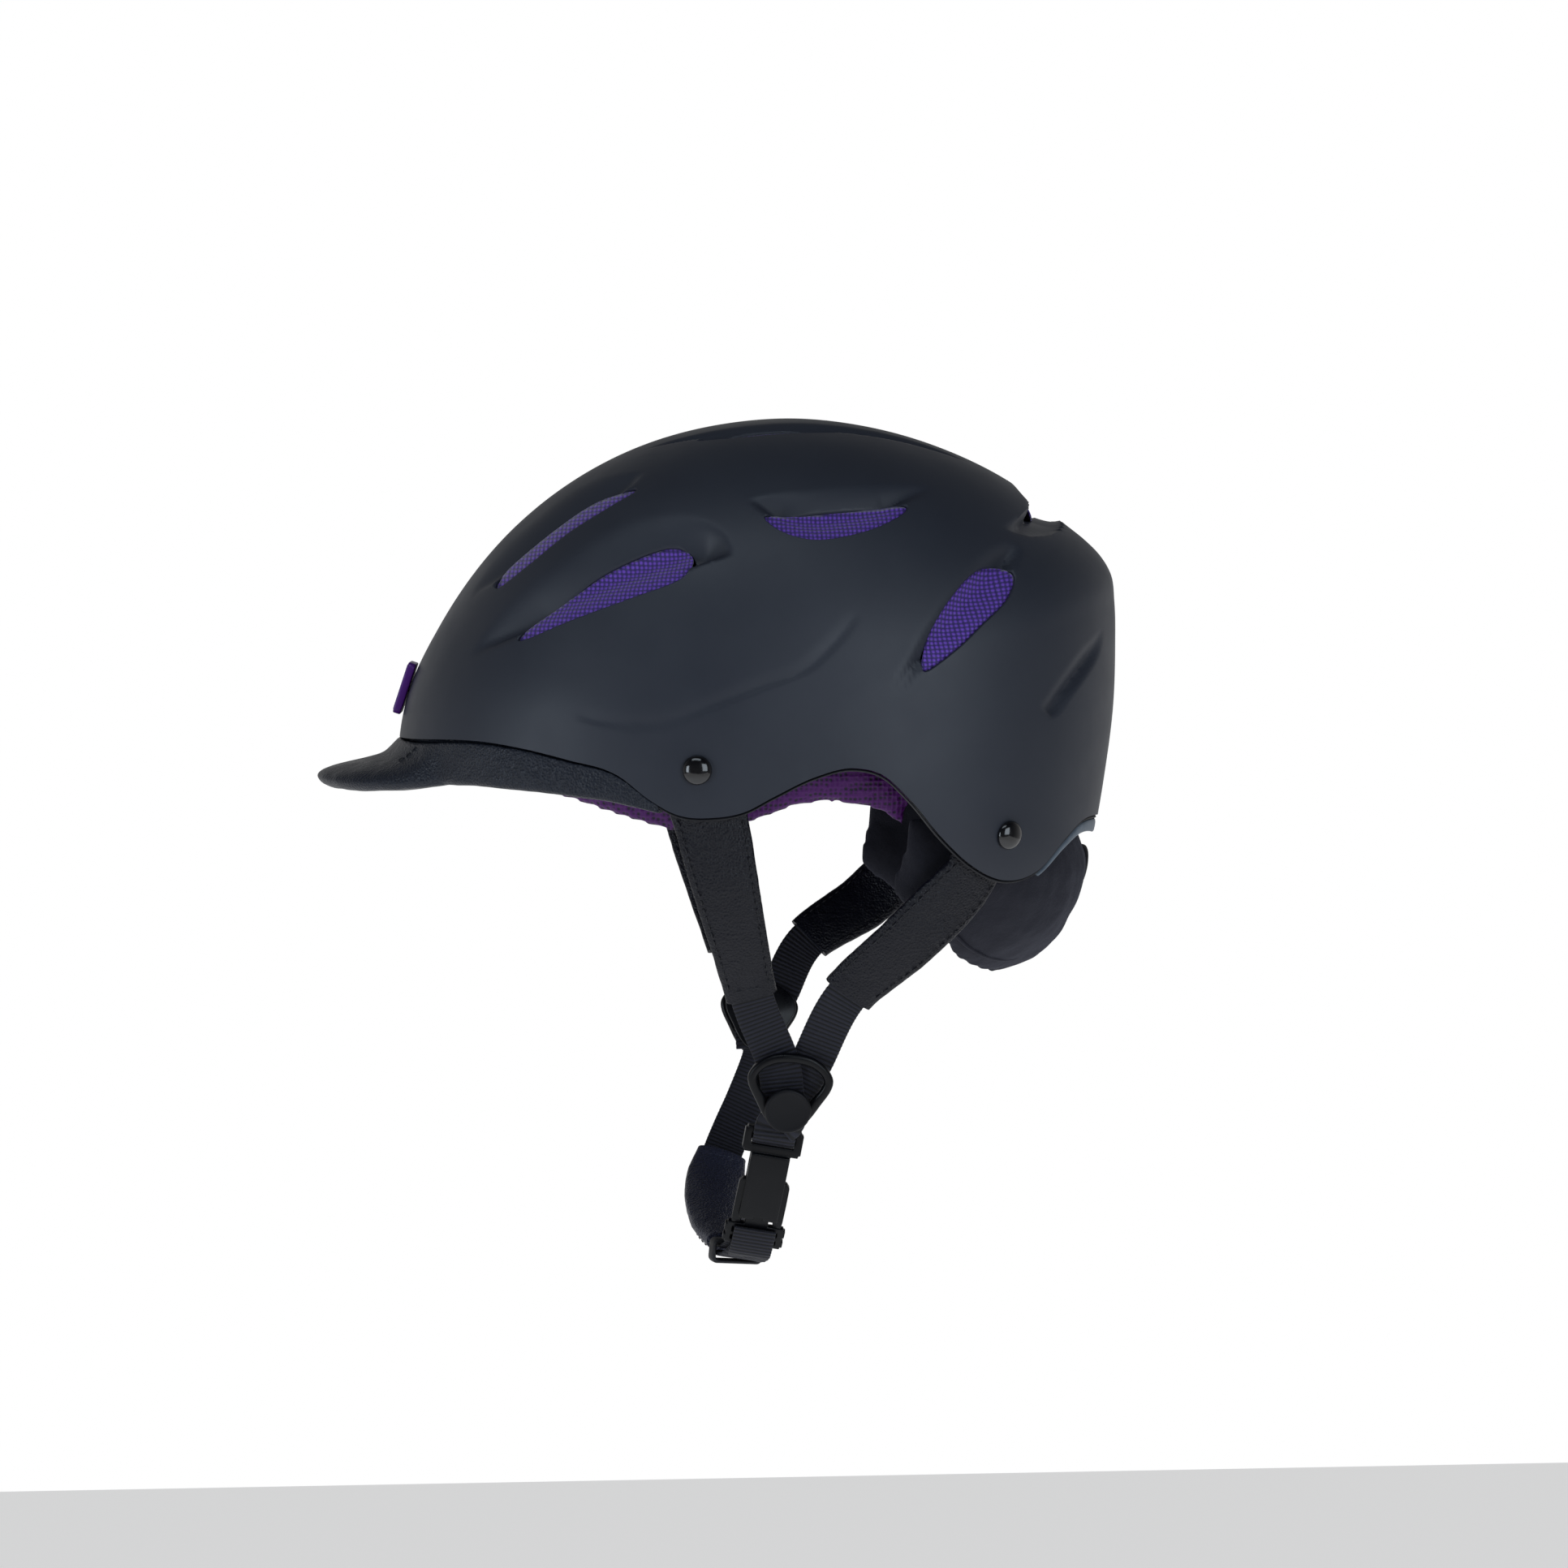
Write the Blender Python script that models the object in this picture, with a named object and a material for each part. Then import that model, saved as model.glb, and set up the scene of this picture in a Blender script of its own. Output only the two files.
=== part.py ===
"""Equestrian riding helmet: shell, liner, pads, brim, harness, dividers and buckle.

Blender 4.5 script. All sizes below are in millimetres and become metres when a mesh is made.
+Z is up, the brim points to -Y and the wearer's left side is +X. The origin is the centre of
the head opening, level with the hatband.
"""
import math

import bmesh
import bpy
from mathutils import Matrix, Vector
from mathutils.geometry import delaunay_2d_cdt

MM = 0.001

# ---------------------------------------------------------------- driving dimensions
CENTRE = Vector((0.0, 12.0, 22.0))      # pole of the shell surface
HALF_WIDTH = 106.0                      # half the shell's width
FULLNESS = 2.3                          # 2 is an ellipse, more is boxier
# side view of the shell's middle line, front to back: (y, z)
PROFILE = [(-118, -58), (-131, -22), (-134.6, 6), (-131.6, 26), (-118.4, 55), (-90, 92),
           (-48, 120.3), (-5, 132), (14, 133.3), (42, 130.6), (70, 123), (103, 106.5),
           (119.5, 93.5), (127.7, 87), (132.7, 82), (137.2, 74.5), (138.6, 64), (139, 48),
           (138.4, 25), (135, -3), (131.5, -24), (127, -46), (117, -66), (101, -79)]
# side view of the shell's lower edge: lobe for the front strap, ear arch, rear lobe
RIM = [(-140, 12.5), (-99, 13.5), (-71, 8), (-53, 2.5), (-42, -6), (-33, -11), (-19, -12.2),
       (-8.5, -10.2), (1.5, -5), (16, 2), (30.6, 5.3), (41, 2.6), (51, -6.5), (63, -20.5),
       (74.5, -31), (87.7, -37), (101, -34), (112.6, -23), (119, -18), (140, -19)]
SHELL_WALL = 3.0
SHELL_COLUMNS = 72
TOUCH = 0.35                            # gap left between pieces that touch
LINER_SIDE = 19.5                       # how deep the liner's inner face lies, at the sides
LINER_ENDS = 7.5                        # and how much deeper at front and back
PAD_THICK = 7.0
LINER_EDGE = [(-140, 24), (-60, 20), (-20, 17), (30, 14), (60, 2), (100, -4), (140, -8)]
PAD_EDGE = [(-140, -2), (-100, -3), (-78, -6.5), (-55, -13), (-37, -18.5), (-8, -16.7),
            (10, -11), (26, -9.5), (42, -12.5), (52, -18), (75, -22), (140, -22)]
PAD_TOP = 30.0
PAD_GAP = 1.2                           # between the liner and the pads
CROWN_PAD_TILT = 28.0                   # how far down from the crown its pad reaches, degrees
LINER_GAP = 2.0                         # between the shell and the liner
LINER_FOLLOW = 0.45                     # how much of the shell's dishes the liner follows

MESH_TOP, MESH_BOTTOM = 0.9, 2.1        # vent inserts: faces below the shell's outer face
MESH_CLEARANCE = 0.6                    # between an insert and the edge of its opening
VENT_POINTS, SCOOP_POINTS = 22, 26      # corners of the side vents and of the rear scoop
VENT_CUT = (7.0, 8.0)                   # a vent cutter's reach outside and inside the surface
RIVET_CUT = (4.0, 6.0)

TRIM_GAP = 0.5                          # black edging under the shell's edge
TRIM_HEIGHT = 1.3
REAR_TRIM_START, REAR_TRIM_SPAN = 141.0, 78.0    # azimuths of the grey crescent, degrees
REAR_TRIM_GAP = 2.2
REAR_TRIM_HEIGHT = (0.8, 5.0)           # at the ends, and how much more in the middle
REAR_TRIM_STEPS = 24

WEB_WIDTH = 15.9                        # 5/8 inch webbing
WEB_THICK = 1.5
SLEEVE_THICK = 4.4
RIVET_HEAD = 5.3
RIVET_HOLE = 2.5                        # radius
RIVET_SHANK = 2.1                       # radius
RIVET_WASHER = 4.2                      # radius
FRONT_RIVET = (-25.2, 4.8)              # side view (y, z)
REAR_RIVET = (88.2, -20.1)

BRIM_REACH = 32.0
BRIM_HALF_ANGLE = 24.0                  # azimuth where the peak runs out into the band
BRIM_END_ANGLE = 63.0                   # azimuth where the band disappears under the shell
BRIM_TAPER = (50.0, 0.30)               # azimuth where the band starts to thin, and how much
BRIM_LEAST = 1.6                        # least height of the band that shows
BRIM_LOW = [(-140, -4.5), (-111, -2.6), (-85, -3.9), (-53, -7.6), (-40, -10.6), (-30, -12.5)]

BRIM_TONGUE = (2.6, 0.6, 2.4)           # angle up behind the shell, then its two depths
# section of the brim: inset, share of the band's height, share of the reach, peak height
BRIM_SECTION = [(0.2, 0.45, 0.40, 4.2), (0.0, 0.80, 0.90, 0.6), (0.9, 0.95, 1.00, -2.8),
                (2.6, 1.0, 0.88, -6.4), (5.0, 0.97, 0.35, -6.2), (6.6, 0.70, 0.0, -3.0)]
BRIM_STATIONS = 37
BRIM_DROOP = 3.0

BADGE = (26.0, 20.0, 2.4)               # width, height, thickness
BADGE_CORNER = 2.0
BADGE_GAP = 0.75
BADGE_HEADING = Vector((0.0, -143.0, 8.5))

# hinge of the chin strap, at the lower bar of the right divider
CHIN_PIVOT = Vector((-60.0, 7.6, -122.0))
CHIN_LEAN = math.radians(10.0)
BUCKLE_RADIUS = 113.0                   # the buckle curves round the chin pivot
DIVIDER_LEAN = math.radians(13.0)
DIVIDER_TWIST = math.radians(5.0)
LEFT_DIVIDER = Vector((61.0, 9.7, -121.6))
RIGHT_DIVIDER = Vector((-61.0, 6.5, -111.0))
DISC_RADIUS = 8.6
PRONG_PIVOT = (24.9, 7.8)               # buckle angle in degrees, offset along the hinge
NAPE_PIVOT = Vector((0.0, 96.0, -14.0))
NAPE_HALF_ANGLE = 61.0
NAPE_THICK = 10.0
NAPE_INSET = (1.0, 19.0)                # depth in from the shell surface, middle and ends more
NAPE_TUCK = 5.5                         # how much deeper its upper edge lies
NAPE_TOP = [(40, -16), (100, -22), (140, -23.5)]
NAPE_EDGE = [(40, -40), (60, -54), (74, -69), (88, -76), (105, -75), (140, -66)]

PATCH_TILT = 118.0                      # from the crown, degrees
PATCH_HALF = (15.0, 9.0)
PATCH_HOLE = (0.62, 0.55)               # shares of the patch's half sizes
PATCH_INLAY = (0.56, 0.47)
PATCH_HEIGHTS = (0.5, 2.0)
INLAY_HEIGHTS = (0.5, 1.7)

FRONT_SLEEVE_WIDTHS = [27.0, 26.0, 24.0, 22.0, 20.0, 19.0]
REAR_SLEEVE_WIDTHS = [23.0, 25.0, 24.0, 22.0, 20.0]
CHIN_PAD_WIDTHS = [20.0, 23.5, 24.0, 24.0, 23.5, 20.0]
CHIN_PAD_THICK = 6.5
FRONT_SLEEVE_TOP, REAR_SLEEVE_TOP = -6.5, -29.5
FRONT_SLEEVE_END = {"left": -80.0, "right": -77.0}
REAR_SLEEVE_END = {"left": -80.0, "right": -74.5}
DIVIDER_FRONT = (1.2, 4.0)              # heights of the two plates and of the lock disc
DIVIDER_BACK = (-4.7, -3.2)
LOCK_HEIGHTS = (4.35, 6.9)
LOCK_HINGE = 5.6

# vent openings: view, then outline. 'side' gives (y, z), 'top' gives (x, y)
VENTS = {
    "front_side": ("side", [(-86.5, 50.5), (-87.5, 52.5), (-80, 60), (-64, 73), (-48, 81.5), (-35, 85.5),
                            (-28.5, 83.5), (-27, 78), (-31.5, 72), (-50, 65), (-70, 57.5)]),
    "crown_front": ("side", [(-96.5, 69), (-93, 77), (-76, 91.5), (-60, 102), (-45.5, 105),
                             (-54, 99.5), (-70, 89.5), (-85, 77.5)]),
    "side_top": ("side", [(0, 94), (5, 96), (28, 98.5), (46, 99.5), (52, 98), (46, 93.5),
                          (34, 89), (19, 86.5), (7.5, 88.7)]),
    "rear_side": ("side", [(56, 39.5), (56.5, 47), (60, 56), (66, 65), (73.5, 73), (80.5, 77),
                           (87.5, 77), (91, 72.5), (87, 64.5), (77.5, 56), (68, 47.5)]),
    "crown_slit": ("top", [(40, -22), (45, -10), (46, 4), (45, 18), (41, 30), (37.5, 16),
                           (37, 2), (37.5, -10)]),
}
REAR_SCOOP = ("top", [(0, 98), (18, 98.3), (33, 100), (38, 104), (31, 108.5), (15, 111.5),
                      (0, 112.5), (-15, 111.5), (-31, 108.5), (-38, 104), (-33, 100), (-18, 98.3)])
# dishes pressed into the shell round the vents: centre y, centre z, half length,
# half width, tilt in degrees, depth, smallest |x|
DISHES = [(-56, 69, 44, 17, 30, 3.5, 50), (-74, 88, 40, 8, 37, 2.5, 30),
          (26, 94, 38, 12, 1, 3.5, 50), (72, 58, 34, 15, 50, 3.5, 50)]
SCOOP_DISH = (107.0, 101.0, 14.0, 56.0, 7.0)   # y, z, half length, half width, depth


# ---------------------------------------------------------------- small helpers
def clear_scene():
    for item in list(bpy.data.objects):
        bpy.data.objects.remove(item, do_unlink=True)


def paint(name, colour, roughness, metallic=0.0):
    material = bpy.data.materials.new(name)
    material.use_nodes = True
    shader = material.node_tree.nodes["Principled BSDF"]
    linear = [(c / 255.0) ** 2.2 for c in colour]
    shader.inputs["Base Color"].default_value = (*linear, 1.0)
    shader.inputs["Roughness"].default_value = roughness
    shader.inputs["Metallic"].default_value = metallic
    return material


def add_body(name, points, faces, material, origin=None, smooth=True):
    """One closed mesh from millimetre points; its origin goes to the given point."""
    origin = Vector(origin) if origin is not None else Vector((0, 0, 0))
    mesh = bpy.data.meshes.new(name)
    mesh.from_pydata([(Vector(p) - origin) * MM for p in points], [], faces)
    work = bmesh.new()
    work.from_mesh(mesh)
    bmesh.ops.recalc_face_normals(work, faces=work.faces)
    for face in work.faces:
        face.smooth = smooth
    work.to_mesh(mesh)
    work.free()
    mesh.materials.append(material)
    body = bpy.data.objects.new(name, mesh)
    body.location = origin * MM
    bpy.context.scene.collection.objects.link(body)
    return body


def spline(knots, where):
    """Smooth curve through (where, value) knots, read at one place."""
    where = min(max(where, knots[0][0]), knots[-1][0])
    last = len(knots) - 2
    i = next((k for k in range(last + 1) if where <= knots[k + 1][0]), last)
    slopes = [(knots[k + 1][1] - knots[k][1]) / (knots[k + 1][0] - knots[k][0])
              for k in range(last + 1)]
    widths = [knots[k + 1][0] - knots[k][0] for k in range(last + 1)]

    def tangent(k):
        if k == 0:
            return slopes[0]
        if k > last:
            return slopes[last]
        total = widths[k - 1] + widths[k]
        return (slopes[k - 1] * widths[k] + slopes[k] * widths[k - 1]) / total

    width = widths[i]
    t = (where - knots[i][0]) / width
    return ((2 * t**3 - 3 * t**2 + 1) * knots[i][1] + (t**3 - 2 * t**2 + t) * width * tangent(i)
            + (3 * t**2 - 2 * t**3) * knots[i + 1][1] + (t**3 - t**2) * width * tangent(i + 1))


def smooth_path(points, count, closed=False):
    """Evenly timed samples of a Catmull-Rom curve through points of any dimension."""
    points = [Vector(p) for p in points]
    total = len(points) if closed else len(points) - 1
    samples = count if closed else count - 1
    result = []
    for step in range(count):
        place = step * total / samples
        i = min(int(place), total - 1)
        t = place - i
        if closed:
            a, b, c, d = (points[(i + k) % len(points)] for k in (-1, 0, 1, 2))
        else:
            a, b, c, d = (points[min(max(i + k, 0), total)] for k in (-1, 0, 1, 2))
        result.append(0.5 * ((2 * b) + (c - a) * t + (2 * a - 5 * b + 4 * c - d) * t**2
                             + (3 * b - a - 3 * c + d) * t**3))
    return result


# ---------------------------------------------------------------- shell surface
MIDLINE = sorted((math.atan2(-(y - CENTRE.y), z - CENTRE.z), math.hypot(y - CENTRE.y, z - CENTRE.z))
                 for y, z in PROFILE)


def base_radius(direction):
    """Distance from the centre to the smooth shell surface along a unit direction."""
    flat = math.hypot(direction.y, direction.z)
    middle = spline(MIDLINE, math.atan2(-direction.y, direction.z))
    share = (abs(direction.x) / HALF_WIDTH) ** FULLNESS + (flat / middle) ** FULLNESS
    return share ** (-1.0 / FULLNESS)


def dish_depth(point):
    """How far the vent dishes press the surface in at a point of the smooth surface."""
    depth = 0.0
    for y, z, length, width, tilt, deep, reach in DISHES:
        if abs(point.x) < reach:
            continue
        turn = math.radians(tilt)
        along = (point.y - y) * math.cos(turn) + (point.z - z) * math.sin(turn)
        cross = (point.z - z) * math.cos(turn) - (point.y - y) * math.sin(turn)
        depth += deep * max(0.0, 1 - (along / length) ** 2 - (cross / width) ** 2) ** 1.2
    y, z, length, width, deep = SCOOP_DISH
    along = math.hypot(point.y - y, point.z - z) / length
    if point.z > 0 and point.y > 0:
        depth += deep * max(0.0, 1 - along**2 - (point.x / width) ** 4) ** 1.2
    return depth


def shell_point(direction, inset=0.0):
    direction = direction.normalized()
    reach = base_radius(direction)
    dish = dish_depth(CENTRE + direction * reach)
    return CENTRE + direction * (reach - dish - inset)


def heading(azimuth, tilt):
    """Unit direction: azimuth 0 is the front, 90 the wearer's left; tilt is from the crown."""
    a, t = math.radians(azimuth), math.radians(tilt)
    return Vector((math.sin(t) * math.sin(a), -math.sin(t) * math.cos(a), math.cos(t)))


def edge_tilt(azimuth, edge, inset=0.0):
    """Tilt at which a meridian reaches the edge height, given as a function of y."""
    low, high = 50.0, 150.0
    for _ in range(30):
        middle = (low + high) / 2
        point = shell_point(heading(azimuth, middle), inset)
        if point.z > edge(point.y):
            low = middle
        else:
            high = middle
    return low


def rim_edge(y):
    return spline(RIM, y)


def lift(view, a, b):
    """Point of the shell seen at (a, b) in a side, left-hand, or top view."""
    low, high = 0.0, 160.0
    for _ in range(40):
        middle = (low + high) / 2
        point = Vector((middle, a, b)) if view == "side" else Vector((a, b, middle))
        ray = point - CENTRE
        if ray.length < (shell_point(ray) - CENTRE).length:
            low = middle
        else:
            high = middle
    return point


def shell_normal(point):
    """Outward unit normal of the shell near a point of its surface."""
    ray = (point - CENTRE).normalized()
    side = ray.cross(Vector((0, 0, 1))).normalized()
    rise = side.cross(ray)
    step = 0.02
    across = shell_point(ray + side * step) - shell_point(ray - side * step)
    along = shell_point(ray + rise * step) - shell_point(ray - rise * step)
    normal = across.cross(along).normalized()
    return normal if normal.dot(ray) > 0 else -normal


def mirrored(points):
    return [Vector((-p.x, p.y, p.z)) for p in points]


# ---------------------------------------------------------------- mesh builders
def cap_body(name, material, outer, inner, tilt_of, columns, rows):
    """Closed dome between two insets, from the crown down to a tilt for each azimuth."""
    points, faces = [], []
    for inset in (outer, inner):
        points.append(shell_point(Vector((0, 0, 1)), inset(Vector((0, 0, 1)))))
        for row in range(1, rows + 1):
            for column in range(columns):
                azimuth = 360.0 * column / columns
                direction = heading(azimuth, tilt_of(azimuth) * row / rows)
                points.append(shell_point(direction, inset(direction)))
    layer = 1 + rows * columns
    for column in range(columns):
        after = (column + 1) % columns
        for start in (0, layer):
            faces.append((start, start + 1 + column, start + 1 + after))
            for row in range(rows - 1):
                a = start + 1 + row * columns
                faces.append((a + column, a + columns + column, a + columns + after, a + after))
        a = 1 + (rows - 1) * columns
        faces.append((a + column, layer + a + column, layer + a + after, a + after))
    return add_body(name, points, faces, material)


def loft_body(name, material, loops, origin=None, closed=False, smooth=True):
    """Closed body through equal loops of points; open lofts get flat end caps."""
    size = len(loops[0])
    points = [p for loop in loops for p in loop]
    faces = []
    spans = len(loops) if closed else len(loops) - 1
    for i in range(spans):
        a, b = i * size, ((i + 1) % len(loops)) * size
        faces += [(a + k, a + (k + 1) % size, b + (k + 1) % size, b + k) for k in range(size)]
    if not closed:
        faces.append(tuple(range(size)))
        faces.append(tuple(range((len(loops) - 1) * size, len(loops) * size)))
    return add_body(name, points, faces, material, origin, smooth)


def band_loops(azimuths, top, bottom, inset, thick, rows=5, round_off=0.35):
    """Loops of a padded band on the shell surface, rounded at its upper and lower edges."""
    loops = []
    for azimuth in azimuths:
        high = edge_tilt(azimuth, top, inset(azimuth, 0.0))
        low = edge_tilt(azimuth, bottom, inset(azimuth, 1.0) + thick / 2)
        outer, inner = [], []
        for row in range(rows):
            share = row / (rows - 1)
            tilt = high + (low - high) * share
            pinch = round_off * thick if row in (0, rows - 1) else 0.0
            depth = inset(azimuth, share)
            direction = heading(azimuth, tilt)
            outer.append(shell_point(direction, depth + pinch))
            inner.append(shell_point(direction, depth + thick - pinch))
        loops.append(outer + inner[::-1])
    return loops


def strip_section(centre, across, normal, width, thick, chamfer=0.3):
    """Eight-sided flat section of webbing or a leather sleeve."""
    half_w, half_t = width / 2, thick / 2
    c = chamfer * thick
    corners = [(-half_w + c, half_t), (half_w - c, half_t), (half_w, half_t - c),
               (half_w, -half_t + c), (half_w - c, -half_t), (-half_w + c, -half_t),
               (-half_w, -half_t + c), (-half_w, half_t - c)]
    return [centre + across * a + normal * b for a, b in corners]


def strip_frames(route, normals, count):
    """Centre, across and normal vectors along a strap's route."""
    centres = smooth_path(route, count)
    facing = smooth_path(normals, count)
    frames = []
    for i, centre in enumerate(centres):
        before, after = centres[max(i - 1, 0)], centres[min(i + 1, count - 1)]
        tangent = (after - before).normalized()
        across = facing[i].cross(tangent).normalized()
        frames.append((centre, across, tangent.cross(across).normalized()))
    return frames


def strap_body(name, material, route, normals, widths, thick, count, origin=None):
    frames = strip_frames(route, normals, count)
    span = smooth_path([(w, 0, 0) for w in widths], count)
    loops = [strip_section(c, a, n, span[i].x, thick) for i, (c, a, n) in enumerate(frames)]
    return loft_body(name, material, loops, origin)


def sleeve_body(name, material, frames, widths, thick, origin=None):
    """Padded sleeve with a slot along it for the webbing; an annular loft."""
    loops = []
    span = smooth_path([(w, 0, 0) for w in widths], len(frames))
    for i, (centre, across, normal) in enumerate(frames):
        outer = strip_section(centre, across, normal, span[i].x, thick)
        inner = strip_section(centre, across, normal, WEB_WIDTH + 2 * TOUCH,
                              WEB_THICK + 2 * TOUCH, 0.25)
        loops.append(outer + inner)
    size = 8
    points = [p for loop in loops for p in loop]
    faces = []
    for i in range(len(loops) - 1):
        for start in (0, size):
            a, b = i * 2 * size + start, (i + 1) * 2 * size + start
            faces += [(a + k, a + (k + 1) % size, b + (k + 1) % size, b + k)
                      for k in range(size)]
    for a in (0, (len(loops) - 1) * 2 * size):
        faces += [(a + k, a + (k + 1) % size, a + size + (k + 1) % size, a + size + k)
                  for k in range(size)]
    return add_body(name, points, faces, material, origin)


def cells_body(name, material, breaks, solid, place, origin=None):
    """Closed body from filled cells of a grid; place() maps grid coordinates to space."""
    counts = [len(axis) - 1 for axis in breaks]

    def filled(i, j, k):
        inside = 0 <= i < counts[0] and 0 <= j < counts[1] and 0 <= k < counts[2]
        return inside and solid(*((breaks[n][v] + breaks[n][v + 1]) / 2
                                  for n, v in enumerate((i, j, k))))

    points, index, faces = [], {}, []

    def corner(i, j, k):
        key = (i, j, k)
        if key not in index:
            index[key] = len(points)
            points.append(place(breaks[0][i], breaks[1][j], breaks[2][k]))
        return index[key]

    sides = [((1, 0, 0), ((1, 0, 0), (1, 1, 0), (1, 1, 1), (1, 0, 1))),
             ((-1, 0, 0), ((0, 0, 0), (0, 0, 1), (0, 1, 1), (0, 1, 0))),
             ((0, 1, 0), ((0, 1, 0), (0, 1, 1), (1, 1, 1), (1, 1, 0))),
             ((0, -1, 0), ((0, 0, 0), (1, 0, 0), (1, 0, 1), (0, 0, 1))),
             ((0, 0, 1), ((0, 0, 1), (1, 0, 1), (1, 1, 1), (0, 1, 1))),
             ((0, 0, -1), ((0, 0, 0), (0, 1, 0), (1, 1, 0), (1, 0, 0)))]
    for i in range(counts[0]):
        for j in range(counts[1]):
            for k in range(counts[2]):
                if not filled(i, j, k):
                    continue
                for (di, dj, dk), ring in sides:
                    if not filled(i + di, j + dj, k + dk):
                        faces.append([corner(i + a, j + b, k + c) for a, b, c in ring])
    return add_body(name, points, faces, material, origin, smooth=False)


def turned_body(name, material, base, axis, outline, steps=16):
    """Solid of revolution; outline is (radius, height) and starts and ends on the axis."""
    side = axis.orthogonal().normalized()
    other = axis.cross(side)
    points = [base + axis * outline[0][1]]
    rings = outline[1:-1]
    for radius, height in rings:
        for step in range(steps):
            turn = math.tau * step / steps
            points.append(base + axis * height
                          + (side * math.cos(turn) + other * math.sin(turn)) * radius)
    points.append(base + axis * outline[-1][1])
    faces = []
    end = len(points) - 1
    for step in range(steps):
        after = (step + 1) % steps
        faces.append((0, 1 + step, 1 + after))
        for ring in range(len(rings) - 1):
            a, b = 1 + ring * steps, 1 + (ring + 1) * steps
            faces.append((a + step, b + step, b + after, a + after))
        a = 1 + (len(rings) - 1) * steps
        faces.append((a + step, end, a + after))
    return add_body(name, points, faces, material)


def plate_body(name, material, frame, outline, low, high, window=None, origin=None):
    """Flat plate in a local frame; a window of as many points makes it a ring."""
    def place(loop, height):
        return [frame @ Vector((u, v, height)) for u, v in loop]

    if window is None:
        return loft_body(name, material, [place(outline, low), place(outline, high)],
                         origin, smooth=False)
    loops = [place(outline, low), place(outline, high), place(window, high), place(window, low)]
    return loft_body(name, material, loops, origin, closed=True, smooth=False)


# ---------------------------------------------------------------- shell, liner and vents
def inset_of(value):
    return lambda direction: value


def face_frame(spot, normal):
    """Local axes on a face: u sideways, v up and w outwards."""
    across = Vector((1, 0, 0))
    axes = Matrix((across, normal.cross(across), normal)).transposed()
    return Matrix.Translation(spot) @ axes.to_4x4()


def ring_about(spot, normal, radius, count=12):
    """Circle of points in the plane across a normal."""
    side = normal.orthogonal().normalized()
    other = normal.cross(side)
    turns = [k * math.tau / count for k in range(count)]
    return [spot + (side * math.cos(t) + other * math.sin(t)) * radius for t in turns]


def rounded(half_w, half_h, corner, turns):
    """Rectangle with rounded corners; turns are the angles drawn at each corner."""
    points = []
    for u, v, start in ((1, 1, 0), (-1, 1, 90), (-1, -1, 180), (1, -1, 270)):
        for turn in turns:
            angle = math.radians(start + turn)
            points.append((u * (half_w - corner) + corner * math.cos(angle),
                           v * (half_h - corner) + corner * math.sin(angle)))
    return points


def ellipse(half_u, half_v, count):
    turns = [k * math.tau / count for k in range(count)]
    return [(half_u * math.cos(t), half_v * math.sin(t)) for t in turns]


def liner_inner(direction):
    share = direction.normalized().y ** 2
    return LINER_SIDE + LINER_ENDS * share


def vent_loops():
    """Every vent's name, lifted outline points and clearance direction."""
    vents = []
    for name, (view, outline) in VENTS.items():
        curve = smooth_path(outline, VENT_POINTS, closed=True)
        left = [lift(view, p[0], p[1]) for p in curve]
        vents.append((f"{name}_left", left))
        vents.append((f"{name}_right", mirrored(left)))
    view, outline = REAR_SCOOP
    curve = smooth_path(outline, SCOOP_POINTS, closed=True)
    vents.append(("rear_scoop", [lift(view, p[0], p[1]) for p in curve]))
    return vents


def mean_normal(loop):
    return shell_normal(sum(loop, Vector()) / len(loop))


def prism(loop, direction, outward, inward):
    """Points and faces of a prism that runs through the shell along one direction."""
    size = len(loop)
    points = [p + direction * outward for p in loop] + [p - direction * inward for p in loop]
    faces = [(k, (k + 1) % size, size + (k + 1) % size, size + k) for k in range(size)]
    return points, faces + [tuple(range(size)), tuple(range(size, 2 * size))]


def add_cutter(name, parts):
    points, faces = [], []
    for part_points, part_faces in parts:
        start = len(points)
        points += part_points
        faces += [tuple(start + k for k in face) for face in part_faces]
    cutter = add_body(name, points, faces, bpy.data.materials["cutter"])
    cutter.hide_render = True
    cutter.display_type = "WIRE"
    return cutter


def cut(body, cutter):
    tool = body.modifiers.new("cut", "BOOLEAN")
    tool.operation = "DIFFERENCE"
    tool.solver = "EXACT"
    tool.object = cutter


def shrunk(loop, distance):
    """Outline moved inwards by a distance, in the plane of its own points."""
    size = len(loop)
    middle = sum(loop, Vector((0, 0))) / size
    result = []
    for k in range(size):
        edge = loop[(k + 1) % size] - loop[k - 1]
        inward = Vector((-edge.y, edge.x)).normalized()
        if inward.dot(middle - loop[k]) < 0:
            inward = -inward
        result.append(loop[k] + inward * distance)
    return result


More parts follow.
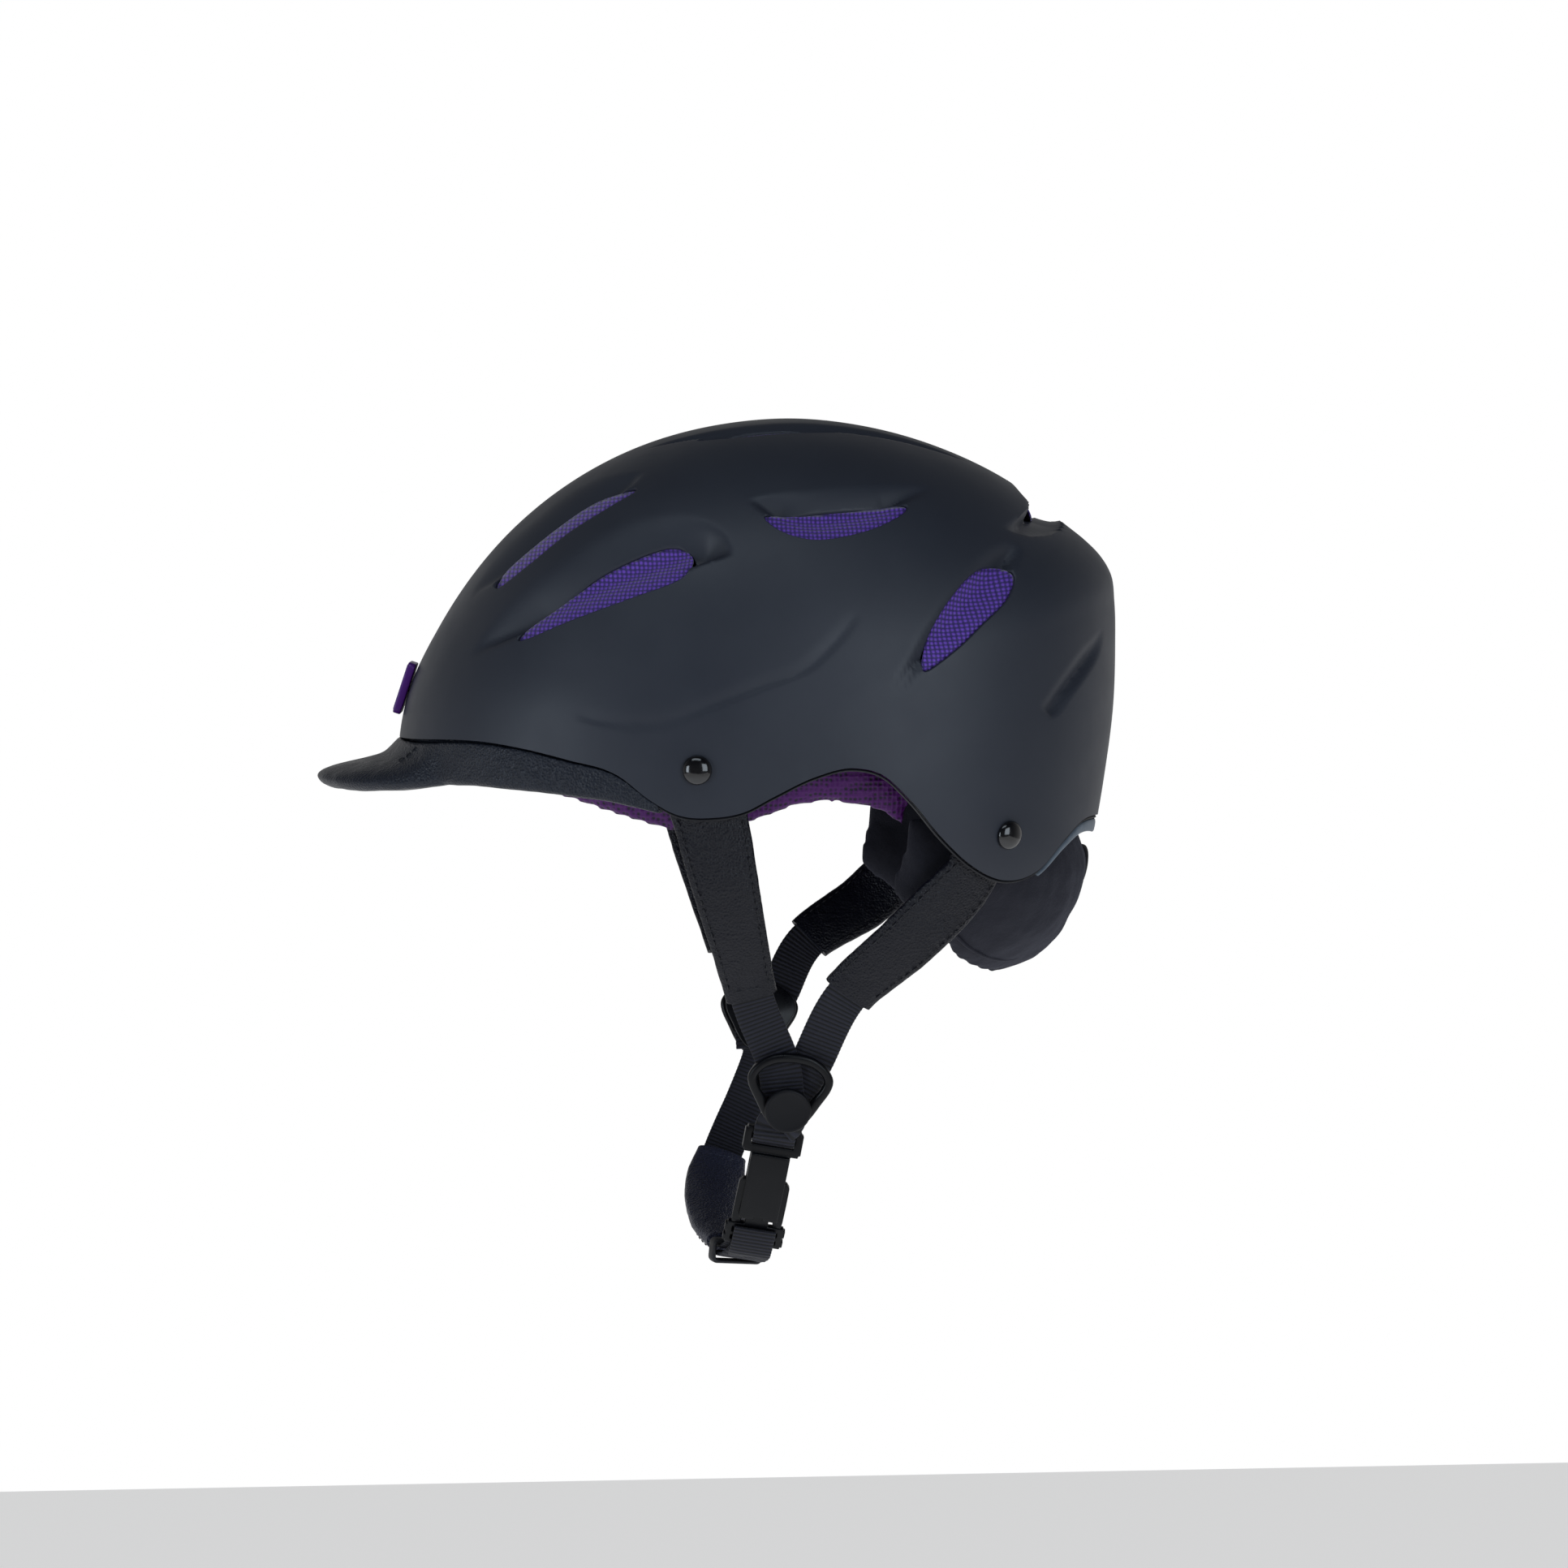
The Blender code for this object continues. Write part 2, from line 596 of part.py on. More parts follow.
def vent_mesh(name, view, outline, material, side=1, spacing=7.0):
    """Thin mesh insert that fills a vent opening just below the shell's outer face."""
    count = SCOOP_POINTS if name == "rear_scoop" else VENT_POINTS
    loop = [Vector((p[0], p[1])) for p in smooth_path(outline, count, closed=True)]
    lifted = [lift(view, p.x, p.y) for p in loop]
    normal = mean_normal(lifted)
    edge = shrunk(loop, MESH_CLEARANCE)
    xs, ys = [p.x for p in edge], [p.y for p in edge]
    inner = []
    for i in range(1, int((max(xs) - min(xs)) / spacing) + 1):
        for j in range(1, int((max(ys) - min(ys)) / spacing) + 1):
            spot = Vector((min(xs) + i * spacing, min(ys) + j * spacing))
            if is_inside(spot, shrunk(loop, 2.5)):
                inner.append(spot)
    size = len(edge)
    links = [(k, (k + 1) % size) for k in range(size)]
    spots, _, triangles, *_ = delaunay_2d_cdt(edge + inner, links, [], 1, 1e-4)
    surface = [lift(view, p.x, p.y) for p in spots]
    if len(surface) != size + len(inner):
        raise ValueError(f"outline of {name} crosses itself")
    high = [p - normal * MESH_TOP for p in surface]
    low = [p - normal * MESH_BOTTOM for p in surface]
    start = len(surface)
    faces = [tuple(t) for t in triangles] + [tuple(start + k for k in t[::-1]) for t in triangles]
    faces += [(a, b, start + b, start + a) for a, b in links]
    points = high + low
    return add_body(f"vent_mesh_{name}", mirrored(points) if side < 0 else points, faces, material)


def is_inside(spot, loop):
    """Even-odd test of a point against a closed outline."""
    inside = False
    for k, a in enumerate(loop):
        b = loop[k - 1]
        crosses = (a.y > spot.y) != (b.y > spot.y)
        if crosses and spot.x < (b.x - a.x) * (spot.y - a.y) / (b.y - a.y) + a.x:
            inside = not inside
    return inside


def build_shell(paints):
    shell = cap_body("outer_shell", paints["shell"], inset_of(0.0), inset_of(SHELL_WALL),
                     lambda azimuth: edge_tilt(azimuth, rim_edge), SHELL_COLUMNS, 15)
    holes = [prism(loop, mean_normal(loop), *VENT_CUT) for _, loop in vent_loops()]
    for rivet, normal in rivet_places():
        holes.append(prism(ring_about(rivet, normal, RIVET_HOLE), normal, *RIVET_CUT))
    cut(shell, add_cutter("shell_cutter", holes))

    def liner_tilt(azimuth):
        return edge_tilt(azimuth, lambda y: spline(LINER_EDGE, y), 12.0)

    def liner_outer(direction):
        spot = CENTRE + direction.normalized() * base_radius(direction.normalized())
        return SHELL_WALL + LINER_GAP + LINER_FOLLOW * dish_depth(spot)

    cap_body("eps_liner", paints["foam"], liner_outer, liner_inner, liner_tilt, 54, 12)
    for name, (view, outline) in VENTS.items():
        vent_mesh(f"{name}_left", view, outline, paints["mesh"])
        vent_mesh(f"{name}_right", view, outline, paints["mesh"], side=-1)
    vent_mesh("rear_scoop", *REAR_SCOOP, paints["mesh"])


def build_edge_trim(paints):
    """Thin black edging that hangs just below the shell's lower edge, behind the brim."""
    loops = []
    spacing = 360.0 / SHELL_COLUMNS
    first = math.ceil(BRIM_END_ANGLE / spacing)
    for step in range(first, SHELL_COLUMNS - first + 1):
        azimuth = spacing * step
        tilt = edge_tilt(azimuth, rim_edge)
        point = shell_point(heading(azimuth, tilt))
        below = math.degrees(TRIM_GAP / (point - CENTRE).length)
        thick = math.degrees(TRIM_HEIGHT / (point - CENTRE).length)
        near, far = heading(azimuth, tilt + below), heading(azimuth, tilt + below + thick)
        loops.append([shell_point(near, 0.3), shell_point(far, 0.5),
                      shell_point(far, SHELL_WALL - 0.6), shell_point(near, SHELL_WALL - 0.4)])
    loft_body("shell_edge_trim", paints["rubber"], loops)


def build_rear_trim(paints):
    """Grey crescent under the back of the shell, between the rear lobes."""
    loops = []
    for step in range(REAR_TRIM_STEPS + 1):
        share = step / REAR_TRIM_STEPS
        azimuth = REAR_TRIM_START + REAR_TRIM_SPAN * share
        fall = REAR_TRIM_HEIGHT[0] + REAR_TRIM_HEIGHT[1] * math.sin(math.pi * share)
        upper = edge_tilt(azimuth, lambda y: rim_edge(y) - REAR_TRIM_GAP)
        lower = edge_tilt(azimuth, lambda y: rim_edge(y) - REAR_TRIM_GAP - fall)
        near, far = heading(azimuth, upper), heading(azimuth, lower)
        loops.append([shell_point(near, 0.4), shell_point(far, 0.9),
                      shell_point(far, 2.1), shell_point(near, 2.1)])
    loft_body("rear_trim", paints["grey"], loops)


# ---------------------------------------------------------------- brim and badge
def build_brim(paints):
    loops = []
    for step in range(BRIM_STATIONS):
        azimuth = BRIM_END_ANGLE * (2.0 * step / (BRIM_STATIONS - 1) - 1.0)
        peak = max(0.0, 1 - (azimuth / BRIM_HALF_ANGLE) ** 2) ** 1.1
        outward = Vector((math.sin(math.radians(azimuth)), -math.cos(math.radians(azimuth)), 0))
        tilt = edge_tilt(azimuth, rim_edge)
        rim = shell_point(heading(azimuth, tilt))
        low = min(spline(BRIM_LOW, rim.y), rim.z - BRIM_LEAST)
        band = rim.z - low
        taper = max(0.0, abs(azimuth) - BRIM_TAPER[0]) / (BRIM_END_ANGLE - BRIM_TAPER[0])
        thin = 1 - BRIM_TAPER[1] * taper
        behind = heading(azimuth, tilt - BRIM_TONGUE[0])
        tongue = [shell_point(behind, SHELL_WALL + depth) for depth in BRIM_TONGUE[1:]]

        def spot(inset, height, reach, peak_height):
            z = (rim.z - height * band) * (1 - peak) + peak_height * peak
            droop = BRIM_DROOP * peak * (1 - peak)
            out = outward * (reach * BRIM_REACH * peak - inset * thin)
            return Vector((rim.x, rim.y, z - droop)) + out

        under = Vector((rim.x, rim.y, rim.z - 0.6)) - outward * (SHELL_WALL + 0.7)
        top = spot(0.6, 0.07, 0.02, rim.z - 0.9)
        loops.append([tongue[0], under, top, *(spot(*place) for place in BRIM_SECTION),
                      tongue[1]])
    loft_body("brim", paints["leather"], loops)


def build_badge(paints):
    """Plain plate on the front of the shell; its outer face is flat."""
    width, height, thick = BADGE
    spot = shell_point(BADGE_HEADING)
    frame = face_frame(spot, shell_normal(spot))
    outline = rounded(width / 2, height / 2, BADGE_CORNER, (0, 30, 60, 90))
    plate_body("front_badge", paints["badge"], frame, outline, BADGE_GAP, BADGE_GAP + thick)


# ---------------------------------------------------------------- pads
def pad_inset(azimuth, share):
    direction = heading(azimuth, 90)
    return liner_inner(direction) + PAD_GAP


def build_pads(paints):
    def pad_edge(y):
        return spline(PAD_EDGE, y)

    pads = {"brow_pad": (-70, 70, "mesh_pad"), "temple_pad_left": (72, 118, "mesh_pad"),
            "temple_pad_right": (-118, -72, "mesh_pad"), "rear_pad": (135, 225, "fabric")}
    for name, (start, end, colour) in pads.items():
        count = max(9, round((end - start) / 6))
        azimuths = [start + (end - start) * k / (count - 1) for k in range(count)]
        loft_body(name, paints[colour],
                  band_loops(azimuths, lambda y: PAD_TOP, pad_edge, pad_inset, PAD_THICK))
    cap_body("crown_pad", paints["mesh_pad"], lambda d: liner_inner(d) + PAD_GAP,
             lambda d: liner_inner(d) + PAD_THICK, lambda azimuth: CROWN_PAD_TILT, 24, 4)


def build_nape(paints):
    """Neck pad that hangs below the back of the shell, with its patch."""
    def top(y):
        return spline(NAPE_TOP, y)

    def bottom(y):
        return spline(NAPE_EDGE, y)

    def inset(azimuth, share):
        turn = abs(azimuth - 180.0) / NAPE_HALF_ANGLE
        tuck = NAPE_TUCK * max(0.0, 1 - share * 4)
        return NAPE_INSET[0] + NAPE_INSET[1] * turn ** 1.5 + tuck

    azimuths = [180.0 + NAPE_HALF_ANGLE * (2 * k / 26 - 1) for k in range(27)]
    loft_body("nape_pad", paints["fabric"],
              band_loops(azimuths, top, bottom, inset, NAPE_THICK, rows=6), NAPE_PIVOT)
    spot = shell_point(heading(180, PATCH_TILT), NAPE_INSET[0])
    frame = face_frame(spot, shell_normal(spot))
    half_u, half_v = PATCH_HALF
    oval = ellipse(half_u, half_v, 20)
    hole = ellipse(half_u * PATCH_HOLE[0], half_v * PATCH_HOLE[1], 20)
    inlay = ellipse(half_u * PATCH_INLAY[0], half_v * PATCH_INLAY[1], 20)
    plate_body("nape_patch", paints["rubber"], frame, oval, *PATCH_HEIGHTS, hole, NAPE_PIVOT)
    plate_body("nape_inlay", paints["badge"], frame, inlay, *INLAY_HEIGHTS, None, NAPE_PIVOT)


# ---------------------------------------------------------------- harness
def rivet_places():
    """Outer-surface point and normal of the four rivets: front and rear, left and right."""
    places = []
    for spot in (FRONT_RIVET, REAR_RIVET):
        left = lift("side", *spot)
        normal = shell_normal(left)
        places.append((left, normal))
        places.append((Vector((-left.x, left.y, left.z)),
                       Vector((-normal.x, normal.y, normal.z))))
    return places


def build_rivets(paints):
    names = ("front_rivet_left", "front_rivet_right", "rear_rivet_left", "rear_rivet_right")
    head = RIVET_HEAD
    back = SHELL_WALL + 2 * TOUCH + WEB_THICK + 2.4
    outline = [(0, 3.3), (head * 0.45, 2.9), (head * 0.8, 1.9), (head, 0.75), (head * 0.96, 0.45),
               (RIVET_SHANK, 0.45), (RIVET_SHANK, -back), (RIVET_WASHER, -back),
               (RIVET_WASHER, -back - 1.0), (0, -back - 1.0)]
    for name, (spot, normal) in zip(names, rivet_places()):
        turned_body(name, paints["gloss"], spot, normal, outline)


def under_shell(view_y, view_z, depth):
    """Point below the left side of the shell, a depth in from its outer face."""
    spot = lift("side", view_y, view_z)
    return spot - shell_normal(spot) * depth


def divider_frame(centre, side):
    """Local axes of a strap divider: u to the rear, v up the strap, w outwards."""
    lean, twist = DIVIDER_LEAN, DIVIDER_TWIST
    up = Vector((side * math.sin(lean), math.sin(twist), math.cos(lean))).normalized()
    back = Vector((0, math.cos(twist), -math.sin(twist)))
    back = (back - up * back.dot(up)).normalized()
    out = back.cross(up)
    if out.x * side < 0:
        out = -out
    return Matrix.Translation(centre) @ Matrix((back, up, out)).transposed().to_4x4()


def harness_routes(side):
    """Webbing routes of one side, as (points, facing normals), in true coordinates."""
    web = SHELL_WALL + TOUCH + WEB_THICK / 2
    sleeve = SHELL_WALL + TOUCH + SLEEVE_THICK / 2 + 0.2
    centre = LEFT_DIVIDER if side > 0 else Vector((-RIGHT_DIVIDER.x, *RIGHT_DIVIDER[1:]))
    frame = divider_frame(centre, 1)
    front_rivet, rear_rivet = lift("side", *FRONT_RIVET), lift("side", *REAR_RIVET)
    out = (frame.to_3x3() @ Vector((0, 0, 1))).normalized()
    front = [under_shell(-26.5, 12.5, web), under_shell(*FRONT_RIVET, web),
             under_shell(-23.4, -5.0, sleeve), under_shell(-20.8, -14.0, sleeve + 0.6),
             Vector((92.5, -15.0, -36.0)), Vector((83.0, -9.0, -60.0)),
             Vector((70.5, -3.0, -83.0) if side > 0 else (71.0, -3.5, -79.0)),
             frame @ Vector((-5.6, 17.5, 0)), frame @ Vector((-2.5, 6.0, 0))]
    front_out = [shell_normal(front_rivet)] * 3 + [Vector((0.99, -0.05, -0.1))] * 2 \
        + [Vector((0.96, 0, -0.25))] * 2 + [out] * 2
    low = Vector((70.0, 30.5, -80.5)) if side > 0 else Vector((71.0, 27.0, -75.0))
    rear = [under_shell(93.5, -13.5, web + 0.8), under_shell(*REAR_RIVET, web + 0.6),
            under_shell(82.0, -27.0, sleeve + 1.8), Vector((81.5, 73.5, -37.0)),
            Vector((79.5, 53.0, -58.5)), low,
            frame @ Vector((7.4, 17.0, -1.9)), frame @ Vector((2.0, 4.0, -1.9))]
    rear_out = [shell_normal(rear_rivet)] * 3 + [Vector((0.88, 0.35, -0.3)),
                                                 Vector((0.93, 0.15, -0.3))]
    rear_out += [Vector((0.96, 0, -0.25)), out, out]
    if side < 0:
        return [mirrored(points) for points in (front, front_out, rear, rear_out)]
    return [front, front_out, rear, rear_out]


def cut_frames(frames, first, last):
    """Stretch of a strap's frames between two heights, from the upper to the lower one."""
    return [f for f in frames if last <= f[0].z <= first]


def build_harness(paints):
    places = rivet_places()
    for side, word in ((1, "left"), (-1, "right")):
        front, front_out, rear, rear_out = harness_routes(side)
        if side > 0:
            # the left front webbing runs on through the divider to the buckle's loop
            frame = divider_frame(LEFT_DIVIDER, 1)
            front += [frame @ Vector((-0.4, -5.5, 0)), buckle_point(4.2, 0.0, 3.4),
                      buckle_point(6.2, 0.0, 3.0), buckle_point(7.3, 0.0, 0.4)]
            front_out += [front_out[-1], buckle_normal(5.0), buckle_normal(10.0),
                          buckle_normal(50.0)]
        else:
            frame = divider_frame(RIGHT_DIVIDER, -1)
            front += [frame @ Vector((-0.4, -6.5, 0))]
            front_out += [front_out[-1]]
        for name, route, normals, rivet, count in (
                ("front", front, front_out, places[0 if side > 0 else 1], 34),
                ("rear", rear, rear_out, places[2 if side > 0 else 3], 26)):
            web = strap_body(f"{name}_webbing_{word}", paints["web"], route, normals,
                             [WEB_WIDTH] * len(route), WEB_THICK, count)
            spot, normal = rivet
            hole = prism(ring_about(spot, normal, RIVET_HOLE), normal, 2.0, 9.0)
            cut(web, add_cutter(f"{name}_{word}_cutter", [hole]))
        build_sleeves(paints, word, (front, front_out), (rear, rear_out))


def build_sleeves(paints, word, front, rear):
    frames = cut_frames(strip_frames(*front, 60), FRONT_SLEEVE_TOP, FRONT_SLEEVE_END[word])
    sleeve_body(f"front_sleeve_{word}", paints["leather"], frames[::2], FRONT_SLEEVE_WIDTHS,
                SLEEVE_THICK)
    frames = cut_frames(strip_frames(*rear, 60), REAR_SLEEVE_TOP, REAR_SLEEVE_END[word])
    sleeve_body(f"rear_sleeve_{word}", paints["leather"], frames[::2], REAR_SLEEVE_WIDTHS,
                SLEEVE_THICK)


DIVIDER_OUTLINE = [(0, 21.3), (7, 20.4), (12.5, 17), (15.6, 12.5), (15.2, 8), (12, 2),
                   (8.5, -4), (5, -7.8), (0, -8.8)]
DIVIDER_WINDOW = [(0, 17.8), (6, 17), (10.3, 14.6), (12.3, 11.4), (11.6, 8.4), (9.2, 4.6),
                  (6.6, 1.6), (3.6, 0.6), (0, 0.4)]


def both_halves(half):
    """Full closed outline from its right half, listed from top to bottom on the middle line."""
    return half + [(-u, v) for u, v in half[-2:0:-1]]


def build_dividers(paints):
    outline = smooth_path(both_halves(DIVIDER_OUTLINE), 32, closed=True)
    window = smooth_path(both_halves(DIVIDER_WINDOW), 32, closed=True)
    outline = [(p[0], p[1]) for p in outline]
    window = [(p[0], p[1]) for p in window]
    disc = ellipse(DISC_RADIUS, DISC_RADIUS, 28)
    for side, word, centre in ((1, "left", LEFT_DIVIDER), (-1, "right", RIGHT_DIVIDER)):
        frame = divider_frame(centre, side)
        plate_body(f"divider_frame_{word}", paints["plastic"], frame, outline,
                   *DIVIDER_FRONT, window)
        plate_body(f"divider_back_{word}", paints["plastic"], frame,
                   [(0.9 * u, 0.9 * v + 0.8) for u, v in outline], *DIVIDER_BACK)
        hinge = frame @ Vector((0, DISC_RADIUS - 0.8, LOCK_HINGE))
        plate_body(f"divider_lock_{word}", paints["plastic"], frame, disc, *LOCK_HEIGHTS,
                   None, hinge)


# ---------------------------------------------------------------- buckle and chin strap
def buckle_point(angle, offset, rise):
    """Point on the buckle's arc: angle in degrees, offset along the hinge, rise outwards."""
    turn = math.radians(angle)
    down = Vector((0, -math.sin(CHIN_LEAN), -math.cos(CHIN_LEAN)))
    hinge = Vector((0, math.cos(CHIN_LEAN), -math.sin(CHIN_LEAN)))
    ray = Vector((1, 0, 0)) * math.cos(turn) + down * math.sin(turn)
    return CHIN_PIVOT + ray * (BUCKLE_RADIUS + rise) + hinge * offset


def buckle_normal(angle):
    return (buckle_point(angle, 0, 1) - buckle_point(angle, 0, 0)).normalized()


def female_solid(angle, offset, rise):
    """Filled cells of the buckle's socket half: loop, neck, two plates and latch posts."""
    offset = abs(offset)
    if angle < 9.9:
        return abs(rise) < 1.9 and not (6.1 < angle < 8.3 and offset < 8.5)
    if offset > 7.3:
        return False
    if angle < 11.6:
        return True
    if 13.6 < angle < 15.0 and offset > 5.7:
        return True
    return abs(rise) > 1.9


def build_buckle(paints):
    angles = [4.9, 6.1, 7.2, 8.3, 9.9, 11.6, 13.6, 15.0, 17.1, 19.2, 21.3, 23.3]
    offsets = [-11, -8.5, -7.3, -5.7, 5.7, 7.3, 8.5, 11]
    cells_body("buckle_socket", paints["plastic"], [angles, offsets, [-3.4, -1.9, 1.9, 3.4]],
               female_solid, buckle_point)

    def ladder_solid(angle, offset, rise):
        slot = 26.1 < angle < 27.2 or 28.1 < angle < 29.0
        return not (slot and abs(offset) < 8.4)

    cells_body("buckle_ladder", paints["plastic"],
               [[25.15, 26.1, 27.2, 28.1, 29.0, 29.9], [-11.4, -8.4, 8.4, 11.4], [-1.6, 1.6]],
               ladder_solid, buckle_point, CHIN_PIVOT)
    prong = [(24.95, 9.4), (23.6, 9.6), (20.0, 9.6), (16.2, 9.5), (15.4, 8.2), (15.3, 5.3),
             (13.4, 5.3), (13.25, 7.3), (12.0, 5.0), (12.0, 3.3), (14.5, 3.2), (19.0, 4.2),
             (23.0, 5.6), (24.95, 6.2)]
    for side, word in ((1, "rear"), (-1, "front")):
        angle, offset = PRONG_PIVOT
        loops = [[buckle_point(a, side * o, rise) for a, o in prong] for rise in (-1.5, 1.5)]
        loft_body(f"buckle_prong_{word}", paints["plastic"], loops,
                  buckle_point(angle, side * offset, 0.0), smooth=False)


KEEPER_SPOT = Vector((21.8, -7.2, -183.5))
CHIN_ROUTE = [(-57.6, 1.5, -137), (-52.5, -4.5, -149), (-45, -9, -158), (-34, -12, -166),
              (-20, -13, -172.5), (-5, -11.5, -178), (10, -9, -181.5), (22, -6.5, -182.5),
              (31.5, -4.2, -179.8)]
CHIN_OUT = [(-0.97, -0.1, -0.25), (-0.9, -0.1, -0.42), (-0.75, -0.12, -0.62),
            (-0.5, -0.15, -0.85), (-0.35, -0.15, -0.92), (-0.28, -0.15, -0.95),
            (-0.1, -0.15, -0.98), (0.2, -0.15, -0.97), (0.7, -0.15, -0.7)]


def build_chin_strap(paints):
    route = [CHIN_PIVOT] + [Vector(p) for p in CHIN_ROUTE] + [buckle_point(26.4, 0, -2.8)]
    normals = [Vector((-0.98, 0, -0.2))] + [Vector(p) for p in CHIN_OUT] + [buckle_normal(26.4)]
    strap_body("chin_webbing", paints["web"], route, normals, [WEB_WIDTH] * len(route),
               WEB_THICK, 40, CHIN_PIVOT)
    frames = strip_frames(route, normals, 80)
    pad = frames[24:60:2]
    sleeve_body("chin_pad", paints["leather"], pad, CHIN_PAD_WIDTHS, CHIN_PAD_THICK, CHIN_PIVOT)
    build_tail(paints)
    build_keeper(paints)


def build_keeper(paints):
    """Rubber ring that holds the webbing's tail under the strap, beside the ladder."""
    tangent = Vector((0.97, 0.25, 0.02)).normalized()
    across = Vector((-0.25, 0.96, -0.1)).normalized()
    out = tangent.cross(across).normalized()
    frame = Matrix.Translation(KEEPER_SPOT) @ Matrix((across, out, tangent)).transposed().to_4x4()

    turns = (0, 45, 90)
    plate_body("strap_keeper", paints["rubber"], frame, rounded(10.0, 4.7, 1.2, turns), -3.2, 3.2,
               rounded(8.6, 3.3, 0.8, turns), CHIN_PIVOT)


def build_tail(paints):
    """End of the webbing: out over the ladder's middle bar and back under the strap."""
    fold = [buckle_point(25.5, 0, 3.0), buckle_point(27.6, 0, 3.1), buckle_point(29.8, 0, 2.9),
            buckle_point(32.0, 0, 1.8), buckle_point(33.6, 0, -2.2), Vector((26, -6.6, -184.9)),
            Vector((17.2, -8.6, -185.2))]
    out = [buckle_normal(25.5), buckle_normal(27.6), buckle_normal(29.8), buckle_normal(36),
           Vector((0.75, -0.15, -0.65)), Vector((0.2, -0.15, -0.97)), Vector((-0.1, -0.15, -0.98))]
    strap_body("strap_tail", paints["web"], fold, out, [WEB_WIDTH] * len(fold), WEB_THICK, 22,
               CHIN_PIVOT)


def main():
    clear_scene()
    paints = {
        "shell": paint("shell", (51, 55, 64), 0.45),
        "foam": paint("foam", (40, 40, 44), 0.9),
        "mesh": paint("vent_mesh", (60, 45, 110), 0.7),
        "mesh_pad": paint("spacer_mesh", (49, 23, 70), 0.8),
        "fabric": paint("nape_fabric", (37, 39, 53), 0.9),
        "leather": paint("leather", (38, 40, 52), 0.5),
        "web": paint("webbing", (37, 37, 48), 0.75),
        "plastic": paint("buckle_plastic", (25, 27, 37), 0.35),
        "gloss": paint("rivet_gloss", (20, 20, 26), 0.15),
        "rubber": paint("rubber", (24, 24, 30), 0.7),
        "badge": paint("badge", (53, 32, 78), 0.4),
        "grey": paint("rear_grey", (103, 115, 128), 0.5),
        "cutter": paint("cutter", (200, 0, 0), 1.0),
    }
    build_shell(paints)
    build_edge_trim(paints)
    build_rear_trim(paints)
    build_brim(paints)
    build_badge(paints)
    build_pads(paints)
    build_nape(paints)
    build_rivets(paints)
    build_harness(paints)
    build_dividers(paints)
    build_buckle(paints)
    build_chin_strap(paints)


main()
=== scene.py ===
"""Visual model of the riding helmet, on the frame of its CAD model. Sizes are in millimetres.

The helmet stands as it is worn: +Z is up, the brim points to -Y, the wearer's left is +X.
"""
import math

import bmesh
import bpy
import numpy as np
from mathutils import Matrix, Vector, noise
from mathutils.geometry import delaunay_2d_cdt


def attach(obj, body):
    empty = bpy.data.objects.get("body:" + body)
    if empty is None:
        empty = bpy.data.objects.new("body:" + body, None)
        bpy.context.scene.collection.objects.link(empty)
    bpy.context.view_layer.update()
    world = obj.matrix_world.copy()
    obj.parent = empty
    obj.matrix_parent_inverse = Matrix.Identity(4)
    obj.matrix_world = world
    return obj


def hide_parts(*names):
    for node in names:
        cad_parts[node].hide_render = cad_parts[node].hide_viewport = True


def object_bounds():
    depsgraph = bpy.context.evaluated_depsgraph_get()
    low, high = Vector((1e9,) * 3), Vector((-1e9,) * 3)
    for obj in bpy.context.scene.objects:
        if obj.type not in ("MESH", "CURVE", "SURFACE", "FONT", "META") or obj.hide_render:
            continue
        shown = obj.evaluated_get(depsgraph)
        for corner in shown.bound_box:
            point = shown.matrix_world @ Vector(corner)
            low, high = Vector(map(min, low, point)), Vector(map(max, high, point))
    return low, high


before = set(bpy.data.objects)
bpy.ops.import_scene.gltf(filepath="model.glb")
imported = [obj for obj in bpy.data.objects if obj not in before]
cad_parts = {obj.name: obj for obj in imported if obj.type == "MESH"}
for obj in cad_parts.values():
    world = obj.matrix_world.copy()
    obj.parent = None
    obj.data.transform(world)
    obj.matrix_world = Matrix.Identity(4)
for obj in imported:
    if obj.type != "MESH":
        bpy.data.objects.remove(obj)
CAD_LOW, CAD_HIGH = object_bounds()
MM = 0.001

# ---------------------------------------------------------------- driving sizes
CENTRE = np.array([0.0, 12.0, 22.0])    # pole of the shell surface
HALF_WIDTH = 106.0
FULLNESS = 2.3                          # 2 is an ellipse, more is boxier
# side view of the shell's middle line, front to back: (y, z)
PROFILE = [(-118, -58), (-131, -22), (-134.6, 6), (-131.6, 26), (-118.4, 55), (-90, 92),
           (-48, 120.3), (-5, 132), (14, 133.3), (42, 130.6), (70, 123), (103, 106.5),
           (119.5, 93.5), (127.7, 87), (132.7, 82), (137.2, 74.5), (138.6, 64), (139, 48),
           (138.4, 25), (135, -3), (131.5, -24), (127, -46), (117, -66), (101, -79)]
# side view of the shell's lower edge
RIM = [(-140, 12.5), (-99, 13.5), (-71, 8), (-53, 2.5), (-42, -6), (-33, -11), (-19, -12.2),
       (-8.5, -10.2), (1.5, -5), (16, 2), (30.6, 5.3), (41, 2.6), (51, -6.5), (63, -20.5),
       (74.5, -31), (87.7, -37), (101, -34), (112.6, -23), (119, -18), (140, -19)]
LINER_EDGE = [(-140, 24), (-60, 20), (-20, 17), (30, 14), (60, 2), (100, -4), (140, -8)]
SHELL_WALL = 3.0
LINER_SIDE = 19.5
LINER_ENDS = 7.5
TOUCH = 0.35

